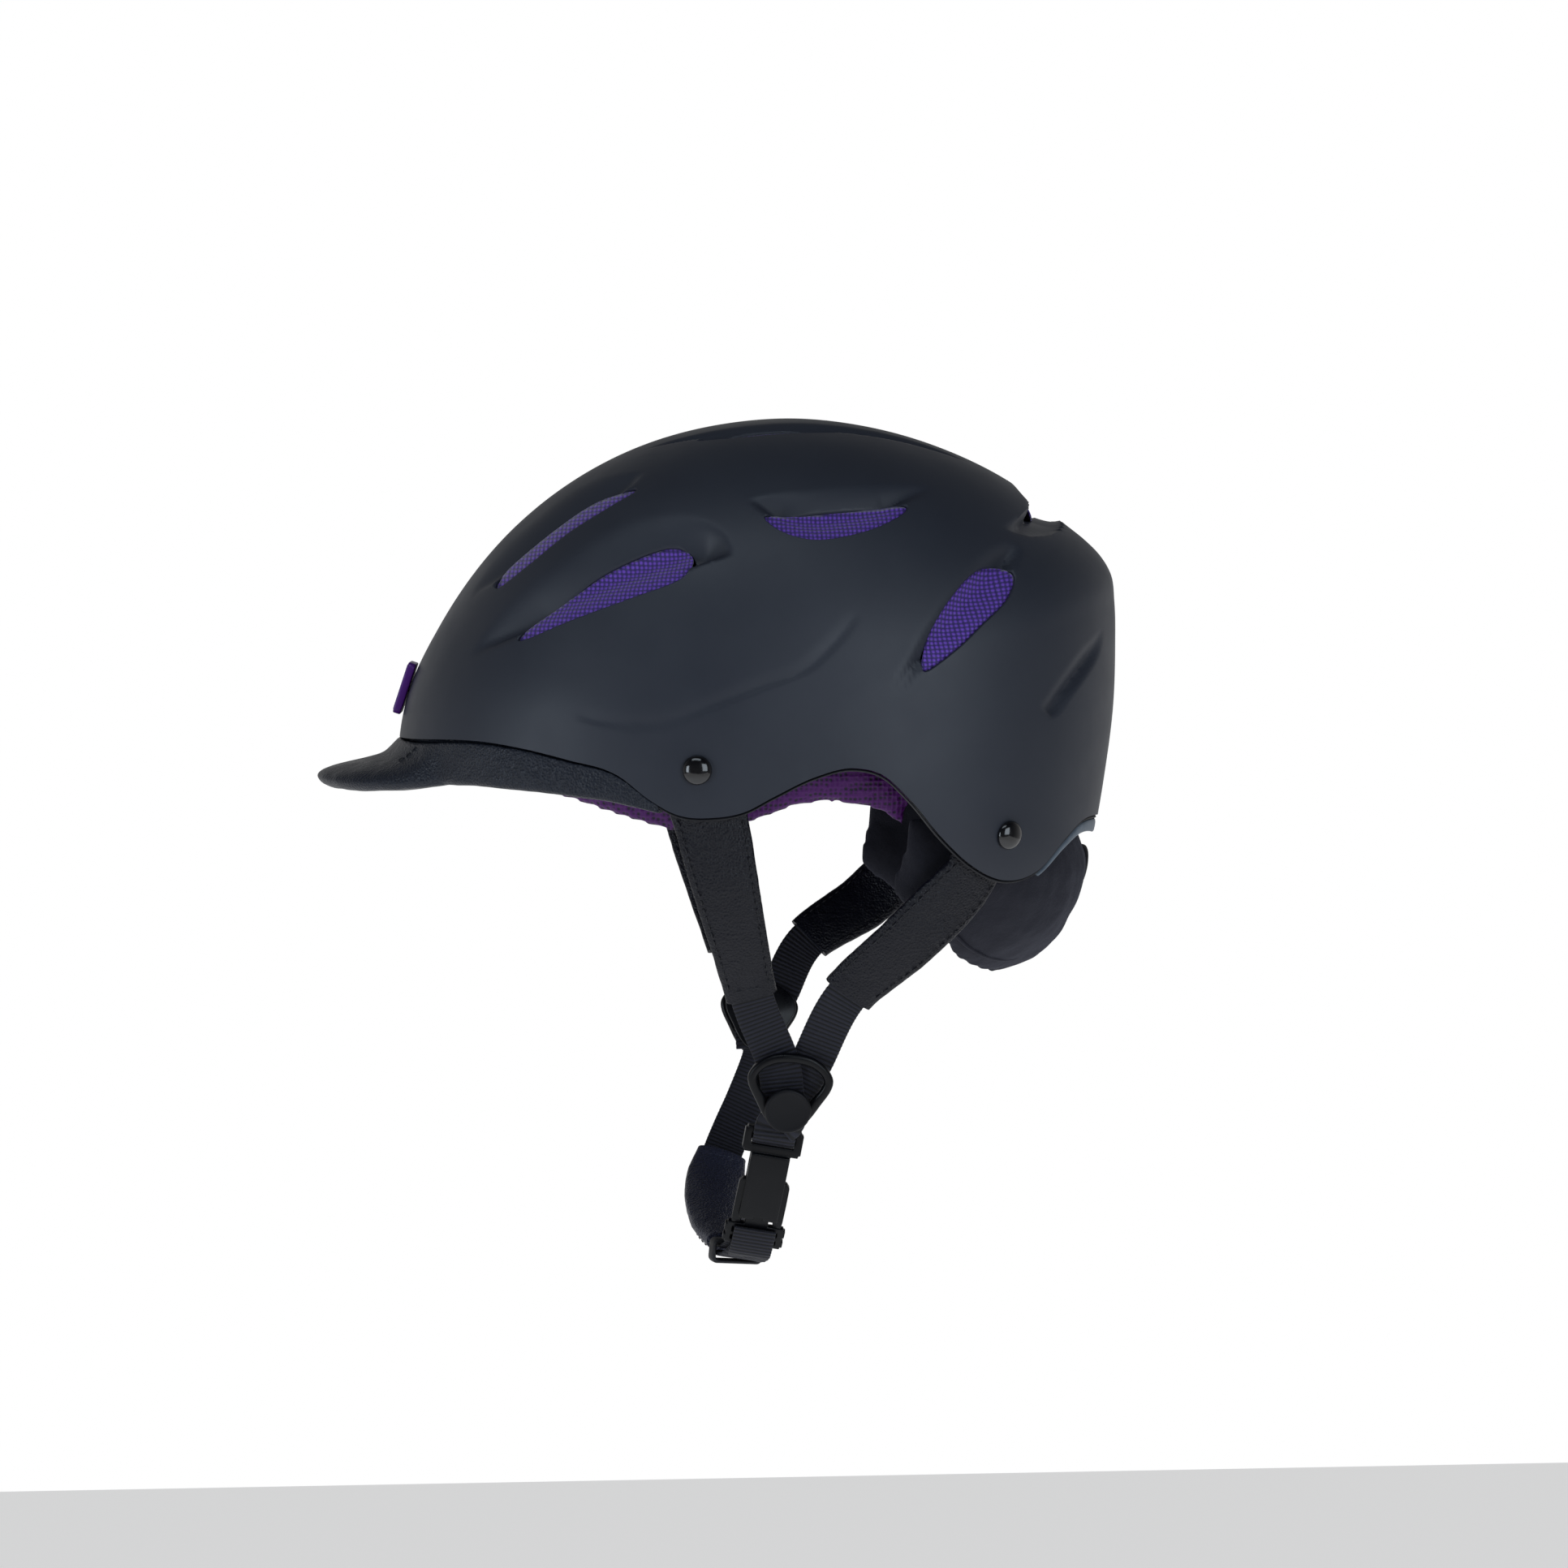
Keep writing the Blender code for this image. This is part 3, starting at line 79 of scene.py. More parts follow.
WEB_WIDTH = 15.9
WEB_THICK = 1.5
RIB_PITCH = 1.6
SLEEVE_THICK = 4.4
SLEEVE_FLANGE = 2.6                     # flat stitched edge of a leather sleeve
FRONT_SLEEVE_WIDTHS = [27.0, 26.0, 24.0, 22.0, 20.0, 19.0]      # from the shell downwards
REAR_SLEEVE_WIDTHS = [23.0, 25.0, 24.0, 22.0, 20.0]
CHIN_PAD_WIDTHS = [20.0, 23.5, 24.0, 24.0, 23.5, 20.0]
CHIN_PAD_THICK = 6.5
STITCH_PITCH = 3.4
THREAD_WIDTH = 0.55
RIVET_HEAD = 5.3
FRONT_RIVET = (-25.2, 4.8)              # side view (y, z)
REAR_RIVET = (88.2, -20.1)
BRIM_REACH = 32.0
BRIM_HALF_ANGLE = 24.0
BRIM_END_ANGLE = 63.0
BRIM_LOW = [(-140, -4.5), (-111, -2.6), (-85, -3.9), (-53, -7.6), (-40, -10.6), (-30, -12.5)]
BRIM_LEAST = 1.6                        # least height of the band that shows
BADGE = (26.0, 20.0, 2.4)               # width, height and thickness
BADGE_RISE = 0.75                       # its back stands this far off the curved shell
CHIN_PIVOT = Vector((-60.0, 7.6, -122.0))
CHIN_LEAN = math.radians(10.0)
BUCKLE_RADIUS = 113.0
DIVIDER_LEAN = math.radians(13.0)
DIVIDER_TWIST = math.radians(5.0)
LEFT_DIVIDER = Vector((61.0, 9.7, -121.6))
RIGHT_DIVIDER = Vector((-61.0, 6.5, -111.0))
DISC_RADIUS = 8.6
NAPE_HALF_ANGLE = 61.0

# vent openings: view, then outline. 'side' gives (y, z), 'top' gives (x, y)
VENTS = {
    "front_side": ("side", [(-86.5, 50.5), (-87.5, 52.5), (-80, 60), (-64, 73), (-48, 81.5), (-35, 85.5),
                            (-28.5, 83.5), (-27, 78), (-31.5, 72), (-50, 65), (-70, 57.5)]),
    "crown_front": ("side", [(-96.5, 69), (-93, 77), (-76, 91.5), (-60, 102), (-45.5, 105),
                             (-54, 99.5), (-70, 89.5), (-85, 77.5)]),
    "side_top": ("side", [(0, 94), (5, 96), (28, 98.5), (46, 99.5), (52, 98), (46, 93.5),
                          (34, 89), (19, 86.5), (7.5, 88.7)]),
    "rear_side": ("side", [(56, 39.5), (56.5, 47), (60, 56), (66, 65), (73.5, 73), (80.5, 77),
                           (87.5, 77), (91, 72.5), (87, 64.5), (77.5, 56), (68, 47.5)]),
    "crown_slit": ("top", [(40, -22), (45, -10), (46, 4), (45, 18), (41, 30), (37.5, 16),
                           (37, 2), (37.5, -10)]),
    "rear_scoop": ("top", [(0, 98), (18, 98.3), (33, 100), (38, 104), (31, 108.5), (15, 111.5),
                           (0, 112.5), (-15, 111.5), (-31, 108.5), (-38, 104), (-33, 100),
                           (-18, 98.3)]),
}
# recesses round the vents: view, soft border, sharp lip, depth, width of full depth, steep wall
RECESSES = [
    ("side", [(-112.3, 37.7), (-107.2, 42.3), (-99.8, 54.1), (-84.9, 70.3), (-55.6, 90.8),
              (-36, 96), (-23, 95), (-14, 89), (-10.5, 79)],
     [(-112.3, 37.7), (-99, 44.5), (-86.5, 50.5), (-70, 57.5), (-50, 65), (-31.5, 72),
      (-24, 75.5), (-10.5, 79)], 6.0, 17.0, False),
    ("side", [(-109, 55), (-103, 72), (-85, 92), (-60, 109), (-38, 112)],
     [(-109, 55), (-102.9, 64.3), (-96.5, 69), (-85, 77.5), (-70, 89.5), (-54, 99.5),
      (-45.5, 105), (-38, 112)], 3.5, 10.0, False),
    ("side", [(-9.2, 100), (5.5, 103.6), (32.3, 106.3), (56.6, 106.6), (67.3, 104.3)],
     [(-9.2, 100), (0, 93.7), (7.5, 88.7), (19, 86.5), (34, 89), (46, 93.5), (52, 98),
      (67.3, 104.3)], 5.5, 13.0, False),
    ("side", [(39.8, 24.5), (44.2, 33.1), (56.3, 56), (69, 73.3), (78.9, 82), (90, 86),
              (97, 82)],
     [(39.8, 24.5), (48, 31), (56, 39.5), (68, 47.5), (77.5, 56), (87, 64.5), (91, 72.5),
      (97, 82)], 5.5, 14.0, False),
    ("top", [(27, -52), (30, -20), (30.5, 5), (30, 30), (28, 60), (30, 90)],
     [(27, -52), (38, -27), (45, -10), (46, 4), (45, 18), (43, 32), (38, 60), (30, 90)],
     3.6, 12.0, False),
    ("rear", [(-70, 84), (-62, 99), (-48, 110), (-28, 116), (0, 118), (28, 116), (48, 110),
              (62, 99), (70, 84)],
     [(-70, 84), (-56, 94), (-43, 99.5), (-33, 100), (-18, 98.3), (0, 98), (18, 98.3), (33, 100),
      (43, 99.5), (56, 94), (70, 84)], 10.5, 15.0, True),
    ("side", [(131, 56.6), (124, 52), (116.5, 46.6), (106, 35), (98, 24)],
     [(131, 56.6), (127, 43), (114.9, 28.8), (106.2, 20.2), (98, 24)], 3.4, 12.0, False),
]
LIP_STEP = (1.6, 4.6)                   # where the step at a recess's lip starts and ends
KNIT_STEP = (0.0, 14.0)                 # the knit rises to the lip over a longer way
NO_STEP = (-1.0, 0.0)
# pressed line on each side of the shell, in the side view
SWOOSH = [(-67.7, 22.6), (-59, 20.4), (-45, 19.4), (-33.5, 20.9), (-19, 26.6), (-2, 33.2),
          (12.3, 38.3), (21, 45.2), (28.4, 53.2), (32.8, 59.5)]
SWOOSH_DEPTH = 1.0
SWOOSH_WIDTH = 6.0


# ---------------------------------------------------------------- curves
def spline(knots, where):
    """Smooth curve through (where, value) knots, read at one place."""
    where = min(max(where, knots[0][0]), knots[-1][0])
    last = len(knots) - 2
    i = next((k for k in range(last + 1) if where <= knots[k + 1][0]), last)
    widths = [b[0] - a[0] for a, b in zip(knots, knots[1:])]
    slopes = [(b[1] - a[1]) / (b[0] - a[0]) for a, b in zip(knots, knots[1:])]

    def tangent(k):
        if k == 0 or k > last:
            return slopes[min(k, last)]
        total = widths[k - 1] + widths[k]
        return (slopes[k - 1] * widths[k] + slopes[k] * widths[k - 1]) / total

    width = widths[i]
    t = (where - knots[i][0]) / width
    return ((2 * t**3 - 3 * t**2 + 1) * knots[i][1] + (t**3 - 2 * t**2 + t) * width * tangent(i)
            + (3 * t**2 - 2 * t**3) * knots[i + 1][1] + (t**3 - t**2) * width * tangent(i + 1))


def smooth_path(points, count, closed=False):
    """Samples of a Catmull-Rom curve through points of any dimension, as an array."""
    points = np.array([tuple(p) for p in points], float)
    total = len(points) if closed else len(points) - 1
    places = np.arange(count) * total / (count if closed else count - 1)
    index = np.minimum(places.astype(int), total - 1)
    t = (places - index)[:, None]
    if closed:
        a, b, c, d = (points[(index + k) % len(points)] for k in (-1, 0, 1, 2))
    else:
        a, b, c, d = (points[np.clip(index + k, 0, total)] for k in (-1, 0, 1, 2))
    return 0.5 * (2 * b + (c - a) * t + (2 * a - 5 * b + 4 * c - d) * t**2
                  + (3 * b - a - 3 * c + d) * t**3)


def fade(values, low, high):
    """0 below low, 1 above high and smooth between them."""
    t = np.clip((values - low) / (high - low), 0, 1)
    return t * t * (3 - 2 * t)


def unit(vectors):
    return vectors / np.linalg.norm(vectors, axis=-1, keepdims=True)


def line_distance(spots, line):
    """Distance from each 2-D spot to a polyline, and how far along it the nearest point is."""
    best = np.full(len(spots), 1e9)
    share = np.zeros(len(spots))
    line = np.array(line, float)
    for i, (a, b) in enumerate(zip(line, line[1:])):
        edge = b - a
        t = np.clip(((spots - a) @ edge) / (edge @ edge), 0, 1)
        far = np.hypot(*(spots - a - t[:, None] * edge).T)
        nearer = far < best
        best = np.where(nearer, far, best)
        share = np.where(nearer, (i + t) / (len(line) - 1), share)
    return best, share


def in_outline(spots, outline):
    """Even-odd test of 2-D spots against a closed outline."""
    inside = np.zeros(len(spots), bool)
    outline = np.array(outline, float)
    for a, b in zip(outline, np.roll(outline, -1, axis=0)):
        crosses = (a[1] > spots[:, 1]) != (b[1] > spots[:, 1])
        rise = b[1] - a[1] if abs(b[1] - a[1]) > 1e-9 else 1e-9
        left = spots[:, 0] < (b[0] - a[0]) * (spots[:, 1] - a[1]) / rise + a[0]
        inside ^= crosses & left
    return inside


# ---------------------------------------------------------------- shell surface
MIDLINE = sorted((math.atan2(-(y - CENTRE[1]), z - CENTRE[2]), math.hypot(y - CENTRE[1], z - CENTRE[2]))
                 for y, z in PROFILE)
MIDLINE_ANGLES = np.linspace(MIDLINE[0][0], MIDLINE[-1][0], 900)
MIDLINE_REACH = np.array([spline(MIDLINE, a) for a in MIDLINE_ANGLES])


def base_reach(directions):
    """Distance from the centre to the smooth shell surface along unit directions."""
    flat = np.hypot(directions[:, 1], directions[:, 2])
    angles = np.arctan2(-directions[:, 1], directions[:, 2])
    middle = np.interp(angles, MIDLINE_ANGLES, MIDLINE_REACH)
    share = (np.abs(directions[:, 0]) / HALF_WIDTH) ** FULLNESS + (flat / middle) ** FULLNESS
    return share ** (-1.0 / FULLNESS)


def seen_from(view, points):
    """Points as 2-D spots of a view, and which of them that view reaches."""
    if view == "side":
        return points[:, 1:], np.abs(points[:, 0]) > 28
    if view == "top":
        return np.stack([np.abs(points[:, 0]), points[:, 1]], 1), points[:, 2] > 60
    return points[:, :2], (points[:, 2] > 40) & (points[:, 1] > 60)


LINE_STEPS = 60
SMOOTH_RECESSES = [(view, smooth_path(border, LINE_STEPS), smooth_path(lip, LINE_STEPS), *sizes)
                   for view, border, lip, *sizes in RECESSES]
SMOOTH_SWOOSH = smooth_path(SWOOSH, LINE_STEPS)


def relief(points, step=LIP_STEP):
    """How deep the design is pressed into the smooth surface; step is where a lip rises."""
    depth = np.zeros(len(points))
    for view, border, lip, deep, width, steep in SMOOTH_RECESSES:
        spots, reached = seen_from(view, points)
        reached &= in_outline(spots, np.concatenate([border, lip[::-1]]))
        near = spots[reached]
        to_border = line_distance(near, border)[0]
        to_lip = line_distance(near, lip)[0]
        span = to_border + to_lip + 1e-6
        across = to_border / span
        wall = np.sqrt(across) if steep else fade(across, 0, 0.75)
        pressed = deep * np.minimum(1, span / width) * wall * fade(to_lip, *step)
        depth[reached] = np.maximum(depth[reached], pressed)
    spots, reached = seen_from("side", points)
    away, share = line_distance(spots, SMOOTH_SWOOSH)
    line_z = np.interp(spots[:, 0], SMOOTH_SWOOSH[:, 0], SMOOTH_SWOOSH[:, 1])
    above = spots[:, 1] > line_z
    ends = np.sin(math.pi * np.clip(share, 0, 1)) ** 0.6
    slope = np.clip(1 - away / SWOOSH_WIDTH, 0, 1) ** 1.6 * fade(away, -0.3, 1.2)
    return depth + np.where(above & reached, SWOOSH_DEPTH * ends * slope, 0)


def on_shell(directions, inset=0.0, pressed=False):
    """Points of the shell surface along directions, an inset below it."""
    directions = unit(np.atleast_2d(np.array(directions, float)))
    reach = base_reach(directions)
    if pressed:
        reach = reach - relief(CENTRE + directions * reach[:, None])
    return CENTRE + directions * (reach - inset)[:, None]


def heading(azimuth, tilt):
    """Unit directions: azimuth 0 is the front, 90 the wearer's left; tilt is from the crown."""
    a, t = np.radians(azimuth), np.radians(tilt)
    return np.stack(np.broadcast_arrays(np.sin(t) * np.sin(a), -np.sin(t) * np.cos(a),
                                        np.cos(t)), -1)


def edge_tilt(azimuth, edge, inset=0.0):
    """Tilt at which a meridian reaches the edge height, given as a function of y."""
    low, high = 50.0, 150.0
    for _ in range(26):
        middle = (low + high) / 2
        point = on_shell(heading(azimuth, middle), inset)[0]
        if point[2] > edge(point[1]):
            low = middle
        else:
            high = middle
    return low


def rim_edge(y):
    return spline(RIM, y)


def lift(view, spots):
    """Points of the shell's left half seen at 2-D spots of a side or top view."""
    spots = np.atleast_2d(np.array(spots, float))
    low, high = np.zeros(len(spots)), np.full(len(spots), 160.0)

    def place(depth):
        if view == "side":
            return np.column_stack([depth, spots])
        return np.column_stack([spots, depth])

    for _ in range(34):
        middle = (low + high) / 2
        rays = place(middle) - CENTRE
        far = np.linalg.norm(rays, axis=1)
        inside = far < base_reach(rays / far[:, None])
        low, high = np.where(inside, middle, low), np.where(inside, high, middle)
    return place(low)


def shell_normals(points):
    """Outward unit normals of the smooth shell near points of its surface."""
    step = 0.02
    rays = unit(np.atleast_2d(points) - CENTRE)
    side = unit(np.cross(rays, [0.0, 0.0, 1.0]) + 1e-9)
    rise = np.cross(side, rays)
    across = on_shell(rays + side * step) - on_shell(rays - side * step)
    along = on_shell(rays + rise * step) - on_shell(rays - rise * step)
    normals = unit(np.cross(across, along))
    return normals * np.sign((normals * rays).sum(1))[:, None]


def mirrored(points):
    return np.array(points, float) * [-1.0, 1.0, 1.0]


# ---------------------------------------------------------------- mesh helpers
def link_object(name, data):
    made = bpy.data.objects.new(name, data)
    bpy.context.scene.collection.objects.link(made)
    return made


def shade_smooth(mesh):
    mesh.polygons.foreach_set("use_smooth", [True] * len(mesh.polygons))


def face_outwards(mesh):
    work = bmesh.new()
    work.from_mesh(mesh)
    bmesh.ops.recalc_face_normals(work, faces=work.faces)
    work.to_mesh(mesh)
    work.free()


def run_along(points):
    """Length along a row of points, at each of them."""
    steps = np.linalg.norm(np.diff(points, axis=0), axis=1)
    return np.concatenate([[0], np.cumsum(steps)])


def add_piece(name, points, faces, material, body, slot, nodes=(), spots=None):
    """One piece from millimetre points; spots are its surface coordinates in millimetres."""
    mesh = bpy.data.meshes.new(name)
    mesh.from_pydata((np.array(points, float) * MM).tolist(), [], faces)
    if spots is not None:
        layer = mesh.uv_layers.new(name="surface")
        index = np.zeros(len(mesh.loops), int)
        mesh.loops.foreach_get("vertex_index", index)
        layer.data.foreach_set("uv", np.array(spots, np.float32)[index].reshape(-1))
    face_outwards(mesh)
    shade_smooth(mesh)
    mesh.materials.append(material)
    return settle(link_object(name, mesh), body, slot, nodes)


def settle(piece, body, slot, nodes=()):
    """Puts a piece on its CAD body and hides the nodes it stands for; its finish slot is not used."""
    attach(piece, body)
    if nodes:
        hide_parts(*nodes)
    return piece


def ring_faces(rings, size, closed=False):
    """Faces between equal closed rings of points, with flat ends unless the row is closed."""
    faces = []
    for i in range(rings if closed else rings - 1):
        a, b = i * size, ((i + 1) % rings) * size
        faces += [(a + k, a + (k + 1) % size, b + (k + 1) % size, b + k) for k in range(size)]
    if not closed:
        faces.append(tuple(range(size)))
        faces.append(tuple(range((rings - 1) * size, rings * size)))
    return faces


def loft(name, rings, material, body, slot, nodes=(), closed=False):
    """Closed body through equal rings; its surface coordinates run along and round them."""
    rings = np.array(rings, float)
    count, size = rings.shape[:2]
    along = run_along(rings.mean(1))
    round_it = np.linalg.norm(np.diff(rings, axis=1), axis=2)
    across = np.concatenate([np.zeros((count, 1)), np.cumsum(round_it, axis=1)], 1)
    spots = np.stack([np.repeat(along[:, None], size, 1), across], -1)
    faces = ring_faces(count, size, closed)
    return add_piece(name, rings.reshape(-1, 3), faces, material, body, slot, nodes,
                     spots.reshape(-1, 2))


def crease(piece, angle=35.0):
    """Sharp shading across edges steeper than an angle."""
    piece.data.set_sharp_from_angle(angle=math.radians(angle))
    return piece


def apply_modifiers(piece):
    graph = bpy.context.evaluated_depsgraph_get()
    mesh = bpy.data.meshes.new_from_object(piece.evaluated_get(graph))
    piece.modifiers.clear()
    old, piece.data = piece.data, mesh
    bpy.data.meshes.remove(old)


def round_edges(piece, width, angle=35.0):
    """Rounds every edge steeper than an angle; width is in millimetres."""
    bevel = piece.modifiers.new("round", "BEVEL")
    bevel.width = width * MM
    bevel.segments = BEVEL_STEPS
    bevel.limit_method = "ANGLE"
    bevel.angle_limit = math.radians(angle)
    bpy.context.view_layer.update()
    apply_modifiers(piece)
    shade_smooth(piece.data)
    return crease(piece, 50)


BEVEL_STEPS = 3


def turned(name, base, axis, outline, material, body, slot, nodes=(), steps=56):
    """Solid of revolution; outline is (radius, height) from axis to axis."""
    axis = Vector(axis).normalized()
    side = axis.orthogonal().normalized()
    other = axis.cross(side)
    turns = np.arange(steps) * math.tau / steps
    circle = np.outer(np.cos(turns), side) + np.outer(np.sin(turns), other)
    rings = [np.array(base) + np.array(axis) * h + circle * max(r, 0.02) for r, h in outline]
    return loft(name, rings, material, body, slot, nodes)


# ---------------------------------------------------------------- materials
class Finish:
    """A Principled material and short ways to add procedural nodes to it."""

    def __init__(self, name, colour, roughness, **sockets):
        self.material = bpy.data.materials.new(name)
        self.material.use_nodes = True
        self.tree = self.material.node_tree
        self.shader = self.tree.nodes["Principled BSDF"]
        self.colour = linear(colour)
        self.shader.inputs["Base Color"].default_value = self.colour
        self.shader.inputs["Roughness"].default_value = roughness
        for socket, value in sockets.items():
            self.shader.inputs[socket.replace("_", " ")].default_value = value
        self.bump_height = None

    def node(self, kind, **values):
        made = self.tree.nodes.new(kind)
        for key, value in values.items():
            if key in made.inputs:
                made.inputs[key].default_value = value
            else:
                setattr(made, key, value)
        return made

    def link(self, output, socket):
        self.tree.links.new(output, socket)

    def place(self, surface=False, scale=(1.0, 1.0, 1.0)):
        """Coordinates in millimetres: in space, or along the piece's own surface."""
        source = self.node("ShaderNodeTexCoord")
        mapping = self.node("ShaderNodeMapping")
        mapping.inputs["Scale"].default_value = [s * (1 if surface else 1 / MM) for s in scale]
        self.link(source.outputs["UV" if surface else "Object"], mapping.inputs["Vector"])
        return mapping.outputs["Vector"]

    def noise(self, coordinates, scale, detail=4.0, rough=0.55):
        made = self.node("ShaderNodeTexNoise", Scale=scale, Detail=detail, Roughness=rough)
        self.link(coordinates, made.inputs["Vector"])
        return made.outputs["Fac"]

    def cells(self, coordinates, scale, feature="F1", randomness=1.0):
        made = self.node("ShaderNodeTexVoronoi", Scale=scale, Randomness=randomness)
        made.feature = feature
        self.link(coordinates, made.inputs["Vector"])
        return made.outputs["Distance"]

    def wave(self, coordinates, scale, axis="X", distortion=0.0):
        made = self.node("ShaderNodeTexWave", Scale=scale, Distortion=distortion)
        made.bands_direction = axis
        self.link(coordinates, made.inputs["Vector"])
        return made.outputs["Fac"]

    def spread(self, value, low, high, start=0.0, end=1.0):
        made = self.node("ShaderNodeMapRange")
        made.inputs["From Min"].default_value = start
        made.inputs["From Max"].default_value = end
        made.inputs["To Min"].default_value = low
        made.inputs["To Max"].default_value = high
        self.link(value, made.inputs["Value"])
        return made.outputs["Result"]

    def tint(self, value, other, start=0.0, end=1.0):
        """Base colour that goes from the finish's own colour to another."""
        ramp = self.node("ShaderNodeMix", data_type="RGBA")
        ramp.inputs[6].default_value = self.colour
        ramp.inputs[7].default_value = linear(other)
        self.link(self.spread(value, 0.0, 1.0, start, end), ramp.inputs[0])
        self.link(ramp.outputs[2], self.shader.inputs["Base Color"])
        return self

    def roughen(self, value, low, high, start=0.3, end=0.7):
        self.link(self.spread(value, low, high, start, end), self.shader.inputs["Roughness"])
        return self

    def bump(self, value, height, strength=1.0):
        """Adds a bump; height is in millimetres."""
        made = self.node("ShaderNodeBump", Strength=strength, Distance=height * MM)
        self.link(value, made.inputs["Height"])
        if self.bump_height is not None:
            self.link(self.bump_height, made.inputs["Normal"])
        self.bump_height = made.outputs["Normal"]
        self.link(self.bump_height, self.shader.inputs["Normal"])
        return self


def linear(colour):
    return (*[((c / 255 + 0.055) / 1.055) ** 2.4 for c in colour], 1.0)


def shell_finish():
    """Soft-touch matt paint: fine orange peel, faint smudges in the gloss."""
    paint = Finish("shell_paint", (43, 47, 57), 0.46)
    paint.shader.inputs["Specular IOR Level"].default_value = 0.42
    place = paint.place()
    paint.bump(paint.noise(place, 2.2, 3.0), 0.012)
    paint.roughen(paint.noise(place, 0.035, 5.0), 0.42, 0.52)
    return paint.tint(paint.noise(place, 0.02, 4.0), (47, 51, 61), 0.35, 0.7).material


def knit_finish():
    """Purple open knit in the vents: rows of round holes, bright threads between them."""
    knit = Finish("vent_knit", (112, 66, 200), 0.45)
    knit.shader.inputs["Sheen Weight"].default_value = 0.35
    place = knit.place(surface=True)
    dots = knit.cells(place, 0.62, randomness=0.1)
    fibre = knit.noise(place, 6.0, 3.0)
    knit.bump(dots, -0.5).bump(fibre, 0.06)
    return knit.tint(dots, (40, 16, 100), 0.18, 0.5).material


def spacer_finish():
    """Purple satin spacer mesh of the pads: hexagonal cells with glossy threads."""
    mesh = Finish("spacer_mesh", (78, 10, 100), 0.42, Specular_IOR_Level=0.3)
    mesh.shader.inputs["Sheen Weight"].default_value = 0.04
    mesh.shader.inputs["Sheen Roughness"].default_value = 0.4
    place = mesh.place()
    holes = mesh.cells(place, 0.55, randomness=0.25)
    mesh.bump(holes, 0.5).bump(mesh.noise(place, 3.0, 3.0), 0.08)
    return mesh.tint(holes, (16, 3, 30), 0.5, 0.2).material


def leather_finish(name="leather", colour=(14, 15, 25), rough=(0.30, 0.44)):
    """Fine-grained synthetic leather with soft creases."""
    skin = Finish(name, colour, rough[0], Specular_IOR_Level=0.3)
    place = skin.place()
    grain = skin.cells(place, 1.15)
    creases = skin.noise(place, 0.16, 4.0, 0.6)
    skin.bump(creases, 0.7).bump(grain, 0.3).bump(skin.noise(place, 4.0, 2.0), 0.04)
    skin.roughen(creases, rough[0], rough[1])
    return skin.tint(grain, tuple(round(c * 0.8) for c in colour), 0.5, 0.1).material


WAVE_PERIOD = math.tau / 20             # length of one band of a wave texture at scale 1


def webbing_finish():
    """Woven polyester: fine slanted threads over the ribs of the strap, with painted shade in the
    grooves between the ribs.
    """
    web = Finish("webbing", (34, 35, 48), 0.42)
    web.shader.inputs["Sheen Weight"].default_value = 0.06
    web.shader.inputs["Specular IOR Level"].default_value = 0.3
    place = web.place(surface=True)
    threads = web.wave(place, 0.9, "Y", 1.5)
    web.bump(threads, 0.10).bump(web.noise(place, 3.5, 3.0), 0.05)
    web.roughen(threads, 0.42, 0.6)
    # painted shade: the grooves between the ribs are darkened to near black for the shade that falls in
    # them
    groove_shade = web.wave(place, WAVE_PERIOD / RIB_PITCH)
    return web.tint(groove_shade, (4, 4, 8), 0.25, 0.95).material


def fabric_finish():
    """Dark brushed fabric of the nape and rear pads, soft and a little fluffy."""
    cloth = Finish("brushed_fabric", (17, 17, 27), 0.9)
    cloth.shader.inputs["Sheen Weight"].default_value = 0.22
    cloth.shader.inputs["Sheen Roughness"].default_value = 0.5
    cloth.shader.inputs["Sheen Tint"].default_value = linear((120, 124, 150))
    place = cloth.place()
    nap = cloth.noise(place, 1.6, 6.0, 0.7)
    cloth.bump(nap, 0.28).bump(cloth.noise(place, 0.12, 3.0), 0.6)
    return cloth.tint(nap, (24, 25, 38), 0.3, 0.8).material


def plastic_finish(name="buckle_plastic", colour=(5, 6, 11), rough=(0.26, 0.38)):
    """Moulded nylon with a fine spark-eroded grain."""
    nylon = Finish(name, colour, rough[0], Specular_IOR_Level=0.25)
    place = nylon.place()
    grain = nylon.noise(place, 5.0, 3.0)
    nylon.bump(grain, 0.02)
    nylon.roughen(nylon.noise(place, 0.15, 4.0), *rough)
    return nylon.tint(grain, tuple(min(255, c + 4) for c in colour), 0.3, 0.8).material


def foam_finish():
    """Black expanded foam, with the pattern of its fused beads."""
    foam = Finish("foam", (26, 26, 30), 0.85)
    place = foam.place()
    beads = foam.cells(place, 0.3)
    foam.bump(beads, 0.35).bump(foam.noise(place, 2.0, 3.0), 0.05)
    return foam.tint(beads, (17, 17, 20), 0.7, 0.2).material


def rivet_finish():
    lacquer = Finish("rivet_lacquer", (12, 12, 16), 0.12)
    lacquer.shader.inputs["Coat Weight"].default_value = 0.6
    lacquer.shader.inputs["Coat Roughness"].default_value = 0.05
    place = lacquer.place()
    lacquer.roughen(lacquer.noise(place, 0.8, 5.0), 0.08, 0.2)
    return lacquer.bump(lacquer.noise(place, 6.0, 2.0), 0.004).material


def rubber_finish(name="rubber", colour=(12, 12, 19)):
    rubber = Finish(name, colour, 0.6)
    place = rubber.place()
    dust = rubber.noise(place, 0.5, 5.0)
    rubber.bump(rubber.noise(place, 4.0, 3.0), 0.03)
    rubber.roughen(dust, 0.5, 0.68)
    return rubber.tint(dust, tuple(c + 5 for c in colour), 0.45, 0.8).material


